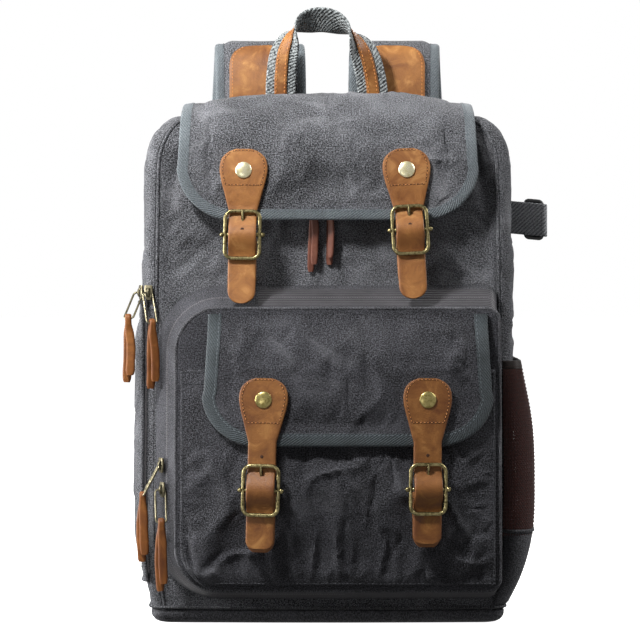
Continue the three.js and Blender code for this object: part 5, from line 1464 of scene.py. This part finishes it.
def belt_holes(belt, piece):
    """A spare hole, and the slot that the prong goes through"""
    # Both are dark shapes laid on the leather: painted shade of holes that are not cut through it.
    holes = Shape()
    hole_z = belt["buckle"] + (3.6 if belt["flap"] == "top" else BUCKLE_HEIGHT / 2 + 5.5)
    slot_z = belt["buckle"] + 0.7 * (BUCKLE_HEIGHT - BUCKLE_WIRE) / 2
    at, right, face, rise = belt_spot(belt, hole_z)
    at = at + face * (float(weave(belt, hole_z)) + BELT_WALL / 2)
    add_loft(holes, lathe(((0.2, 0.06), (1.3, 0.06), (1.5, -0.1)), at, right, face, rise, 16))
    at, right, face, rise = belt_spot(belt, slot_z)
    at = at + face * (float(weave(belt, slot_z)) + BELT_WALL / 2)
    slot = at + rise * np.linspace(-3.2, 3.2, 9)[:, None]
    add_tube(holes, slot, np.array([0.3, 1.1, 1.5, 1.6, 1.6, 1.6, 1.5, 1.1, 0.3]) * 0.9, normal=face)
    finish_piece("belt_holes_" + belt["name"], holes, HOLE_SHADE, pieces_under=piece)


def belt_chape(belt, finish):
    """The chape, which holds the buckle and hangs under the belt"""
    name = belt["name"]
    top_z, low = belt["buckle"] - BUCKLE_BAR, belt["chape"]
    z = edged(low, top_z, 1.8)
    centre, across, out, _ = belt_frames(belt, z)
    t = np.clip((low + TIP_ROUND - z) / TIP_ROUND, 0, 1)
    width = CHAPE_WIDTH - 2 * TIP_ROUND * (1 - np.sqrt(1 - t * t * 0.8))
    shape = add_band(Shape(), centre - out * (BELT_WALL + GAP), across, out, width, BELT_WALL)
    finish_piece("leather_chape_" + name, shape, finish, ["chape_" + name], sharp=60)


def belt_rivet(belt):
    """Domed rivet in the belt's tab"""
    name = belt["name"]
    at, right, face, rise = belt_spot(belt, belt["tab"] - RIVET_FROM_TOP)
    radius = RIVET_DIAMETER / 2
    profile = [(radius * 0.9, 0), (radius, 0.15), (radius, 0.5), (0.96 * radius, 0.9), (0.85 * radius, 1.35),
               (0.65 * radius, 1.8), (0.4 * radius, 2.08), (0.15 * radius, RIVET_DOME), (0.02, RIVET_DOME)]
    rings = lathe(profile, at + face * (BELT_WALL / 2 + 0.05), right, face, rise)
    # Upper rivets take the pale brass, a painted highlight from the light above; lower rivets take the olive
    # brass.
    finish = BRASS_PAINTED_HIGHLIGHT if belt["flap"] == "top" else BRASS_OLIVE
    shape = add_loft(Shape(), rings)
    finish_piece("brass_rivet_" + name, shape, finish, ["rivet_" + name], sharp=60)


def build_belt(belt):
    """Belt with its stitches and holes, chape, buckle and rivet"""
    name = belt["name"]
    # Belts on the front flap take the darker leather copy: painted shade of the lower front.
    finish = LEATHER if belt["flap"] == "top" else LEATHER_SHADED
    belt_holes(belt, belt_strap(belt, finish))
    belt_chape(belt, finish)
    finish_piece("brass_buckle_" + name, buckle_shape(belt), BRASS, ["buckle_" + name], sharp=60)
    belt_rivet(belt)


# Handle


def handle_frames():
    """Middle line of the handle with its directions across and out"""
    seat = section_at(2)["back"] + HANDLE_SEAT - HANDLE_WALL
    half = np.column_stack([HANDLE_PATH, -np.ones(len(HANDLE_PATH))])
    other = half[:-1][::-1] * (1, 1, 1, 1, -1)
    whole = np.vstack([half, other])
    out, rise, lean, turn, side = whole.T
    points = stack(HANDLE_SHIFT * rise ** 2 + side * out * HANDLE_SPREAD / 2, seat - HANDLE_LEAN * lean,
                   BODY_HEIGHT + GAP + HANDLE_RISE * rise)
    turns = np.where(side < 0, turn, 2 - turn) * math.pi / 2
    share = np.linspace(0, 1, 160)
    line = spline(points, share)
    tangent = tangents(line)
    turn = np.interp(share * (len(whole) - 1), np.arange(len(whole)), turns)
    across = stack(np.cos(turn), -np.sin(turn) * math.cos(HANDLE_TILT), np.sin(turn) * math.sin(HANDLE_TILT))
    across = square_to(tangent, across)
    return line, across, np.cross(across, tangent)


def build_handle():
    line, across, out = handle_frames()
    shape = add_band(Shape(), line, across, out, HANDLE_WEBBING, HANDLE_WALL, columns=12)
    webbing = finish_piece("handle_strap", shape, WEBBING, ["handle_webbing"], sharp=60)
    lift = (HANDLE_WALL + HANDLE_LEATHER_WALL) / 2 + 0.1
    shape = add_band(Shape(), line + out * lift, across, out, HANDLE_LEATHER, HANDLE_LEATHER_WALL)
    finish_piece("handle_leather_strip", shape, LEATHER, ["handle_leather"], sharp=60)
    stitch = Shape()
    for side in (-1, 1):
        at = line + out * (lift + HANDLE_LEATHER_WALL / 2) + across * side * (HANDLE_LEATHER / 2 - 1.9)
        add_beads(stitch, at, out, *HANDLE_STITCH)
    finish_piece("handle_stitches", stitch, LEATHER_THREAD, pieces_under=webbing)


# Shoulder straps


def strap_frames(side, share):
    """Middle line of a shoulder strap with its directions and widths"""
    seat = BODY_BACK + GAP + STRAP_WALL / 2
    behind, rise, drop, splay, _ = STRAP_PATH.T
    points = stack(side * (STRAP_SPACING / 2 + splay * STRAP_SPLAY), seat + behind * STRAP_REACH,
                   BODY_HEIGHT + rise * STRAP_RISE - drop * STRAP_DROP)
    line = spline(points, share)
    step = 1e-4
    low, high = np.clip(share - step, 0, 1), np.clip(share + step, 0, 1)
    tangent = unit(spline(points, high) - spline(points, low))
    across = square_to(tangent, RIGHT)
    marks = np.arange(len(STRAP_PATH))
    width = STRAP_WIDTH * np.interp(share * marks[-1], marks, STRAP_PATH[:, 4])
    return line, across, np.cross(across, tangent), width, tangent


def pad_section():
    """Section of a padded strap with thin bound edges, as shares of its width and thickness"""
    a = np.linspace(-0.5, 0.5, 23)
    thick = 0.17 + 0.33 * smooth((0.5 - np.abs(a)) / 0.14) ** 0.7
    return np.concatenate([a, a[::-1]]), np.concatenate([-thick, thick[::-1]])


def strap_pad(name, side):
    """Padded strap, with binding over both its long edges"""
    share = np.linspace(0, 1, 170)
    line, across, out, width, _ = strap_frames(side, share)
    shares, thickness = pad_section()
    places = shares * width[:, None]
    rings = line[:, None] + across[:, None] * (shares * (width[:, None] - STRAP_PAD_INSET))[..., None]
    soft = 1 + 0.06 * ripple(stack(places, lengths(line)[:, None], 0), 30, 41 + side)
    rings = rings + out[:, None] * (thickness * STRAP_WALL * soft)[..., None]
    uv = grid_uv(places, lengths(line))
    pad = finish_piece("strap_pad_" + name, add_loft(Shape(), rings, uv=uv), CANVAS,
                       ["shoulder_strap_" + name], sharp=60)
    binding = Shape()
    stitch = Shape()
    for edge in (-1, 1):
        centre = line + across * (edge * (width - STRAP_BINDING) / 2)[:, None]
        add_band(binding, centre, across, out, STRAP_BINDING, STRAP_BINDING_WALL, columns=4)
        for face in (-1, 1):
            at = line + across * (edge * (width / 2 - 7.6))[:, None] + out * face * 3.25
            add_beads(stitch, at, out * face, *STRAP_STITCH)
    tape_piece = finish_piece("strap_binding_" + name, binding, BINDING, pieces_under=pad)
    finish_piece("strap_stitches_" + name, stitch, PALE_THREAD, pieces_under=tape_piece)


def strap_patch(name, side):
    """Leather patch up to the arch"""
    steps = np.linspace(2, 8.2, 90)
    at, at_across, at_out, _, _ = strap_frames(side, steps / STRAP_STEPS)
    t = np.clip((steps - 6.2) / 2, 0, 1)
    width = PATCH_WIDTH - 36 * (1 - np.sqrt(1 - t ** 2))
    lift = (STRAP_WALL + PATCH_WALL) / 2 + 0.6
    shape = add_band(Shape(), at + at_out * lift, at_across, at_out, width, PATCH_WALL, columns=16)
    patch = finish_piece("leather_patch_" + name, shape, LEATHER, ["strap_patch_" + name],
                         sharp=60)
    stitch = Shape()
    keep = steps < 8.1
    for edge in (-1, 1):
        seam = at + at_across * (edge * (width / 2 - 2.6))[:, None] + at_out * (lift + PATCH_WALL / 2)
        add_beads(stitch, seam[keep], at_out[keep], *PATCH_STITCH)
    finish_piece("patch_stitches_" + name, stitch, LEATHER_THREAD, pieces_under=patch)


def strap_slider(name, side):
    """Ladder slider, with two slots that the webbing goes through. Gives its middle and directions."""
    end, end_across, end_out, _, end_along = (v[0] for v in strap_frames(side, np.array([1.0])))
    centre = end + end_along * (STRAP_SLIDER / 2 + GAP)
    slider = Shape()
    half_x = (STRAP_WEBBING + 2 * STRAP_SLIDER_WALL) / 2 - SLIDER_WIRE
    half_z = STRAP_SLIDER / 2 - SLIDER_WIRE
    ring = rounded_outline(-half_x, half_x, -half_z, half_z, [2.5] * 4, 6, 5)
    basis = np.stack([end_across, end_out, -end_along])
    add_tube(slider, centre + stack(ring[:, 0], 0, ring[:, 1]) @ basis, SLIDER_WIRE, True, 10, end_out)
    for height in (-2.6, 2.6):
        bar = stack(np.linspace(-half_x, half_x, 7), 0, height)
        add_tube(slider, centre + bar @ basis, 1.6, False, 8, end_out)
    finish_piece("ladder_slider_" + name, slider, PLASTIC, ["strap_slider_" + name], sharp=60)
    return centre, end_out, end_along


def strap_webbing(name, side, centre, end_out, end_along):
    """Anchor in the base seam, and the webbing to it from the slider"""
    foot = BASE_HEIGHT + 2 * GAP
    top = foot + ANCHOR_HEIGHT
    anchor_x = side * (section_at(0)["half"] - CORNER_RADIUS - ANCHOR_WIDTH / 2)

    def back_at(z, wall):
        return body_section(height_share(z))["back"] + GAP + wall
    z = edged(foot, top, 2)[:, None]
    half = lerp(ANCHOR_WIDTH, STRAP_WEBBING, (z - foot) / ANCHOR_HEIGHT) / 2
    columns = edged(-1, 1, 0.1, (0.015, 0.045, 0.09))[None, :]
    grid = stack(anchor_x - columns * half, back_at(z, ANCHOR_WALL), z)
    shape = add_cloth(Shape(), grid, ANCHOR_WALL)
    anchor = finish_piece("anchor_canvas_" + name, shape, CANVAS, ["strap_anchor_" + name])
    start = centre + end_along * (STRAP_SLIDER / 2 + 4 * GAP)
    seat_wall = ANCHOR_WALL + 4 * GAP + WEBBING_WALL / 2
    low_z = lerp(foot, top, 0.2)
    sewn_in = np.array([anchor_x, float(back_at(np.array(low_z), seat_wall)), low_z])
    seated = np.array([anchor_x, float(back_at(np.array(float(top)), seat_wall + 2.5 * GAP)), top])
    inside = centre + end_out * 0.2
    route = spline(np.array([start, lerp(start, seated, 0.5), seated, sewn_in]), np.linspace(0, 1, 60))
    route = np.vstack([np.linspace(inside, start, 6)[:-1], route])
    tangent = tangents(route)
    across = square_to(tangent, RIGHT)
    out = np.cross(across, tangent)
    shape = add_band(Shape(), route, across, out, STRAP_WEBBING, WEBBING_WALL, columns=10)
    finish_piece("strap_tail_" + name, shape, LASH, ["strap_webbing_" + name], sharp=60)


def build_strap(name, side):
    """Padded shoulder strap with its patch, ladder slider, webbing and anchor"""
    strap_pad(name, side)
    strap_patch(name, side)
    strap_webbing(name, side, *strap_slider(name, side))


# Lash strap and loop


def build_lash():
    root = float(body_point(2.45, height_share(LASH_HEIGHT))[0])
    bar_x = root + LASH_REACH - LASH_BAR / 2 - LASH_WALL - GAP
    back = LASH_DEPTH + LASH_BAR + LASH_WALL + 2 * GAP
    fold = (back - LASH_DEPTH) / 2
    turn = np.linspace(-math.pi / 2, math.pi / 2, 16)
    path = np.vstack([
        np.linspace((root + GAP - 1, LASH_DEPTH, 0), (bar_x - 2, LASH_DEPTH, 0), 14),
        stack(bar_x + fold * np.cos(turn), LASH_DEPTH + fold + fold * np.sin(turn), 0),
        np.linspace((bar_x - 2, back, 0), (lerp(root, bar_x, 0.5), back, 0), 10),
    ])
    path[:, 2] = LASH_HEIGHT - LASH_SAG * (path[:, 0] - root)
    across = np.repeat(UP[None], len(path), axis=0)
    out = np.cross(across, tangents(path))
    shape = add_band(Shape(), path, across, out, LASH_WIDTH + 0.6, LASH_WALL, columns=10)
    finish_piece("lash_webbing_strap", shape, LASH, ["lash_strap"], sharp=60)

    buckle = Shape()
    middle = LASH_DEPTH + fold
    half = LASH_WIDTH / 2 + 1.9
    ring = rounded_outline(lerp(root, bar_x, 0.55), bar_x, -half, half, [LASH_BAR / 2] * 4, 10, 6)
    height = LASH_HEIGHT + ring[:, 1] - LASH_SAG * (ring[:, 0] - root)
    add_tube(buckle, stack(ring[:, 0], middle, height), 1.9, True, 12)
    finish_piece("lash_ring", buckle, PLASTIC, ["lash_buckle"], sharp=60)


def build_side_loop():
    foot = LASH_HEIGHT + LASH_WIDTH / 2 + LASH_BAR + GAP
    heights = share_at(np.linspace(foot, foot + LOOP_HEIGHT, 25))
    loops = Shape()
    arch = np.sin(np.linspace(0, math.pi, 25)) ** 0.5
    places = np.full(25, 2.5)
    line = body_point(places, heights)
    out = outward_of(body_point, places, heights)
    line = line + out * (1.2 + 1.0 * arch)[:, None]
    across = unit(np.cross(tangents(line), out))
    add_band(loops, line, across, out, LOOP_WIDTH, 1.6)
    finish_piece("side_webbing_loop", loops, PLASTIC, ["side_loop"], sharp=60)


# Bottle pocket and side door


def bottle_stand(p, z):
    """How far the bottle pocket stands off the side"""
    across = np.clip((p - BOTTLE_SPAN[0]) / (BOTTLE_SPAN[1] - BOTTLE_SPAN[0]), 0, 1)
    up = (z - BOTTLE_BOTTOM) / (BOTTLE_TOP - BOTTLE_BOTTOM)
    return GAP + BOTTLE_BULGE * np.sin(math.pi * across) ** 0.7 * sample(BOTTLE_SECTIONS, 1, up)


def bottle_grid(low, high, rows, columns, lift):
    """The pocket's surface, slightly gathered near its hem"""
    start, end = BOTTLE_SPAN
    z = np.linspace(low, high, rows)[:, None]
    p = np.linspace(start, end, columns)[None, :] + 0 * z
    v = height_share(z) + 0 * p
    gather = smooth((z - BOTTLE_TOP + 45) / 40) * 0.4 * np.sin((p - start) * 21)
    stand = bottle_stand(p, z) + lift + gather * np.sin(math.pi * (p - start) / (end - start))
    return body_point(p, v) + outward_of(body_point, p, v) * stand[..., None]


def build_bottle_pocket():
    # Net: strands slant both ways between even points of the pocket's surface.
    rows, columns = 91, 85
    grid = bottle_grid(BOTTLE_SEAM - 4, BOTTLE_TOP - 4, rows, columns, 0.8)
    net = Shape()
    out = normals_of(grid)

    def strand(i, j):
        if len(i) > 1:
            height = np.where(np.arange(len(i)) % 2, NET_WEAVE, -NET_WEAVE)[:, None]
            add_tube(net, grid[i, j] + out[i, j] * height, NET_STRAND, False, 4, out[i, j])
    for start in range(-rows + 1, columns, 2):
        j = np.arange(max(start, 0), min(start + rows, columns))
        strand(j - start, j)
        strand(rows - 1 - (j - start), j)
    mesh = finish_piece("net_pocket", net, NET, ["bottle_net"], sharp=80)

    hem_line = bottle_grid(BOTTLE_TOP - NET_HEM_WIDTH - 1, BOTTLE_TOP, 2, 121, 0.8)
    hem = Shape()
    middle = hem_line.mean(axis=0)
    up = unit(hem_line[1] - hem_line[0])
    add_band(hem, middle, up, np.cross(tangents(middle), up), NET_HEM_WIDTH, 1.8, columns=4)
    finish_piece("net_hem", hem, NET_HEM, pieces_under=mesh)

    grid = bottle_grid(BOTTLE_BOTTOM, BOTTLE_SEAM, 34, 90, 1.6)
    grid = raised(grid, 0.8 * creases(grid, 30, 51) * sewn_edges(grid, 5))
    base = finish_piece("bottle_base_canvas", add_cloth(Shape(), grid, 1.6), BASE,
                        ["bottle_pocket_base"])
    seam = grid[-1] + (0, 0, 0.3)
    piping = add_tube(Shape(), seam, PIPING["bottle"], False, 8, normals_of(grid)[-1])
    finish_piece("bottle_base_seam", piping, BASE, pieces_under=base)


def door_grid():
    """The body under the door, its outward directions and how far the door stands off it"""
    z = np.linspace(DOOR_BOTTOM, DOOR_TOP, 92)[:, None]
    p = np.linspace(*DOOR_SPAN, 52)[None, :] + 0 * z
    v = height_share(z) + 0 * p
    across = (p - DOOR_SPAN[0]) / (DOOR_SPAN[1] - DOOR_SPAN[0])
    up = (z - DOOR_BOTTOM) / (DOOR_TOP - DOOR_BOTTOM)
    full = smooth(np.sin(math.pi * across) / 0.8) * smooth(np.sin(math.pi * up) / 0.6)
    return body_point(p, v), outward_of(body_point, p, v), GAP + DOOR_EDGE + DOOR_BULGE * full


def build_door():
    base, out, stand = door_grid()
    grid = base + out * stand[..., None]
    free = sewn_edges(grid, 6)
    grid = drape(grid, free, 2.2, pressure=2.5, slack=0.03)
    fold = creases(grid, 36, 61, (1, 1, 1.4)) * 0.9 - 0.6 * ripple(grid, 48, 62)
    grid = raised(grid, fold * free)
    uv = grid_uv(lengths(grid[45]), lengths(grid[:, 26]))
    shape = add_wall(Shape(), grid, base + out * (GAP + 0.4), uv)
    door = finish_piece("door_canvas", shape, CANVAS, ["side_door"])

    # Piping on the door's edge and the zipper round its top and sides
    rim, rim_out = (np.vstack([g[0], g[1:, -1], g[-1, -2::-1], g[-2:0:-1, 0]]) for g in (grid, out))
    piping = add_tube(Shape(), rim + rim_out * 0.3, PIPING["door"], True, 8, rim_out)
    finish_piece("door_piping", piping, CANVAS, pieces_under=door)

    def round_door(offset, lift):
        marks = np.linspace(DOOR_BOTTOM + 6, DOOR_TOP + offset, 90)
        across = 0.09 * offset / 8
        places = np.linspace(DOOR_SPAN[0] - across, DOOR_SPAN[1] + across, 60)
        p = np.concatenate([np.full(90, places[0]), places[1:-1], np.full(90, places[-1])])
        z = np.concatenate([marks, np.full(58, marks[-1]), marks[::-1]])
        v = height_share(z)
        face = outward_of(body_point, p, v)
        return body_point(p, v) + face * lift, face
    sections = np.array([round_door(o, h)[0] for o, h in (
        (1.5, 0.2), (1.5, 0.7), (5.2, 1.0), (5.6, 0.6), (6.4, 0.6), (6.8, 1.0), (10, 0.9), (10, 0.2))])
    shape = add_loft(Shape(), sections.transpose(1, 0, 2))
    zipper = finish_piece("door_zip_tape", shape, DOOR_ZIP, pieces_under=door)
    line, face = round_door(6, 0.9)
    teeth = add_beads(Shape(), line, face, *DOOR_TEETH)
    finish_piece("door_zip_teeth", teeth, COIL, pieces_under=zipper)


# Zipper pulls


def build_pull(row):
    """Slider with its wire bail, and the leather lace that hangs from it"""
    turned = 0.0
    if row["on"] == "front":
        z = row["height"] * BODY_HEIGHT
        x = row["across"] * BODY_WIDTH / 2
        at = np.array([x, -float(body_front(np.array(x), np.array(z))) - GAP, z])
    elif row["on"] == "gusset":
        turned = -math.atan2(ORGANISER_DEPTH - ORGANISER_WALL, GUSSET_SPREAD)
        x = ORGANISER["left"] - GUSSET_SPREAD * (1 - row["across"])
        z = ORGANISER["bottom"] + row["height"] * (ORGANISER["top"] - ORGANISER["bottom"])
        share = (x - ORGANISER["left"] + GUSSET_SPREAD) / GUSSET_SPREAD
        foot = float(body_front(np.array(x), np.array(z))) + GUSSET_STAND
        lip = float(face_at(np.array(float(ORGANISER["left"])), np.array(z))) - ORGANISER_WALL - GAP
        at = np.array([x, -lerp(foot, lip, share), z])
        at = at + np.array([math.sin(turned), -math.cos(turned), 0]) * 2.3 * GAP
    else:
        z = DOOR_TOP + row["height"] * SLIDER_LENGTH
        v = height_share(np.array(z))
        out = outward_of(body_point, np.array(row["across"]), v)
        at = body_point(row["across"], v) + out * 2 * GAP
        turned = math.atan2(out[0], -out[1])
    wall_x = np.array([math.cos(turned), math.sin(turned), 0])
    wall_out = np.array([math.sin(turned), -math.cos(turned), 0])
    fall = math.sqrt(1 - row["lean"] ** 2 - row["forward"] ** 2)
    drop = np.array([row["lean"], -row["forward"], -fall]) * BAIL_LENGTH
    bridge = at + wall_out * SLIDER_WALL
    foot = bridge + drop
    lateral = unit(np.cross(UP, drop))
    rise = -unit(drop)
    normal = np.cross(rise, lateral)

    pull = Shape()
    heights = np.linspace(-SLIDER_LENGTH / 2, SLIDER_LENGTH / 2, 11)
    share = np.abs(heights) / (SLIDER_LENGTH / 2)
    widths = SLIDER_WIDTH * (1 - 0.25 * smooth(share * (heights < 0)) - 0.12 * share ** 4)
    walls = 2.2 * np.sqrt(1 - 0.6 * share ** 6)
    line = at + wall_out * 1.6 + heights[:, None] * UP
    add_band(pull, line, np.repeat(wall_x[None], 11, 0), np.repeat(wall_out[None], 11, 0), widths, walls,
             columns=6)
    arch = np.linspace(0, math.pi, 12)
    hoop = at + wall_out * (2.4 + 1.8 * np.sin(arch))[:, None] + UP * (-3.4 * np.cos(arch))[:, None]
    hoop_across = np.repeat(wall_x[None], 12, 0)
    hoop_out = unit(np.cross(hoop_across, np.gradient(hoop, axis=0)))
    add_band(pull, hoop, hoop_across, hoop_out, 3.0, 1.1, columns=4)
    half = (BAIL_WIDTH - BAIL_WIRE) / 2
    ring = rounded_outline(-half, half, -BAIL_LENGTH, 0, [2.6] * 4, 8, 6)
    bail = bridge + stack(ring[:, 0], 0, ring[:, 1]) @ np.stack([lateral, normal, rise])
    add_tube(pull, bail, BAIL_WIRE / 2, True, 9, normal)
    finish_piece("zip_slider_" + row["name"], pull, BRASS_GREY, ["slider_" + row["name"]], sharp=60)

    # The lace goes round the bail's foot and both ends hang down, slightly apart.
    length = row["lace"] * LACE_LENGTH
    lateral = RIGHT if abs(row["lean"]) > 0.2 else lateral
    forward = np.cross(UP, lateral)
    reach = BAIL_WIRE / 2 + GAP + LACE_WALL / 2
    turn = np.linspace(0, math.pi, 13)
    down = np.linspace(0, 1, 34)[1:]
    spread = reach * (1 - 0.55 * smooth(down / 0.25)) + 0.3 * np.sin(down * 5 + len(row["name"]))
    front = stack(spread + 0.9 * down, -1.1 * smooth(down * 2), -down * length)
    back = stack(-spread, 1.6 * smooth(down * 2), -down * (length - 6))
    loop = stack(reach * np.cos(turn), 0, reach * np.sin(turn))
    local = np.vstack([front[::-1], loop, back])
    local[:, 1] += 0.8 * np.sin(local[:, 2] * 0.06 + len(row["name"])) * smooth(-local[:, 2] / 30)
    line = foot + local @ np.stack([forward, lateral, UP])
    tangent = tangents(line)
    across = square_to(tangent, lateral)
    ends = np.minimum(np.arange(len(line)), np.arange(len(line))[::-1])
    if row["on"] == "front":
        width, wall, finish = TOP_LACE_WIDTH, TOP_LACE_WALL, TOP_LACE
    else:
        width, wall, finish = SIDE_LACE_WIDTH, SIDE_LACE_WALL, LACE
    widths = width * lerp(0.72, 1, np.sqrt(np.clip(ends / 2.5, 0, 1)))
    widths = widths * lerp(0.7, 1, smooth((foot[2] - line[:, 2]) / 14)) * (1 + 0.08 * ripple(line, 9, 5))
    shape = add_band(Shape(), line, across, np.cross(across, tangent), widths, wall, columns=4)
    finish_piece("leather_lace_" + row["name"], shape, finish, ["lace_" + row["name"]], sharp=60)


# Studio


def build_studio():
    """White floor and room, six lamps and the camera of the photograph"""
    scene = bpy.context.scene
    scene.view_settings.view_transform = "Standard"
    floor_mesh = bpy.data.meshes.new("floor")
    floor_mesh.from_pydata([(-9, -9, 0), (9, -9, 0), (9, 9, 0), (-9, 9, 0)], [], [(0, 1, 2, 3)])
    floor = bpy.data.objects.new("floor", floor_mesh)
    scene.collection.objects.link(floor)
    paper = Finish("floor_paper", 0.9, specular=0.1)
    grain = paper.noise(paper.solid, 3, 2)
    floor_mesh.materials.append(paper.done(paper.mix(grain, (0.9, 0.9, 0.9, 1), (0.94, 0.94, 0.94, 1))))
    paper.shader.inputs["Emission Color"].default_value = (1, 1, 1, 1)
    paper.shader.inputs["Emission Strength"].default_value = 1.0
    floor.visible_diffuse = False
    floor.visible_glossy = False

    world = bpy.data.worlds.new("studio")
    scene.world = world
    world.use_nodes = True
    tree = world.node_tree
    tree.nodes.clear()
    path = tree.nodes.new("ShaderNodeLightPath")

    # The camera sees a white room. Shiny things mirror a dimmer one, and little light comes from it.
    def glow(strength):
        made = tree.nodes.new("ShaderNodeBackground")
        made.inputs["Color"].default_value = (1, 1, 1, 1)
        made.inputs["Strength"].default_value = strength
        return made.outputs[0]

    def choice(ray, otherwise, then):
        made = tree.nodes.new("ShaderNodeMixShader")
        for socket, source in zip(made.inputs, (path.outputs[ray], otherwise, then)):
            tree.links.new(source, socket)
        return made.outputs[0]
    around = choice("Is Glossy Ray", glow(0.06), glow(0.55))
    out = tree.nodes.new("ShaderNodeOutputWorld")
    tree.links.new(choice("Is Camera Ray", around, glow(1.0)), out.inputs[0])

    for name, place, size, power in (
        ("key", (-0.45, -0.55, 1.0), 0.15, 14),
        ("top_light", (-0.15, -0.1, 1.3), 0.7, 1.1),
        ("low_light", (-0.5, -1.6, 0.08), 0.5, 2.2),
        ("left_light", (-1.6, -0.05, 0.5), 0.9, 42),
        ("right_light", (1.5, 0.1, 1.3), 0.9, 26),
        ("back_light", (0.5, 1.9, 1.3), 1.4, 26),
    ):
        lamp = bpy.data.lights.new(name, "AREA")
        lamp.size = size
        lamp.energy = power
        light = bpy.data.objects.new(name, lamp)
        light.location = place
        light.rotation_euler = (Vector(LAMP_TARGET) - Vector(place)).to_track_quat("-Z", "Y").to_euler()
        scene.collection.objects.link(light)

    lens = bpy.data.cameras.new("camera")
    lens.lens = LENS_PIXELS / PHOTO_WIDTH * SENSOR
    lens.sensor_width = SENSOR
    lens.shift_y = CAMERA_SHIFT
    lens.clip_end = 60
    camera = bpy.data.objects.new("camera", lens)
    camera.location = CAMERA_PLACE
    camera.rotation_euler = (math.pi / 2, 0, 0)
    scene.collection.objects.link(camera)
    scene.camera = camera


build_studio()
build_front()
build_sides()
build_piping()
build_back()
build_top()
build_base()
build_gusset()
build_organiser_face()
build_front_pocket()
build_flap("top_flap", "top", 1.0, 71)
build_flap("front_flap", "front", 0.8, 81)
for belt_row in PLACED_BELTS:
    build_belt(belt_row)
build_handle()
build_strap("left", -1)
build_strap("right", 1)
build_lash()
build_side_loop()
build_bottle_pocket()
build_door()
for pull_row in ZIP_PULLS:
    build_pull(pull_row)
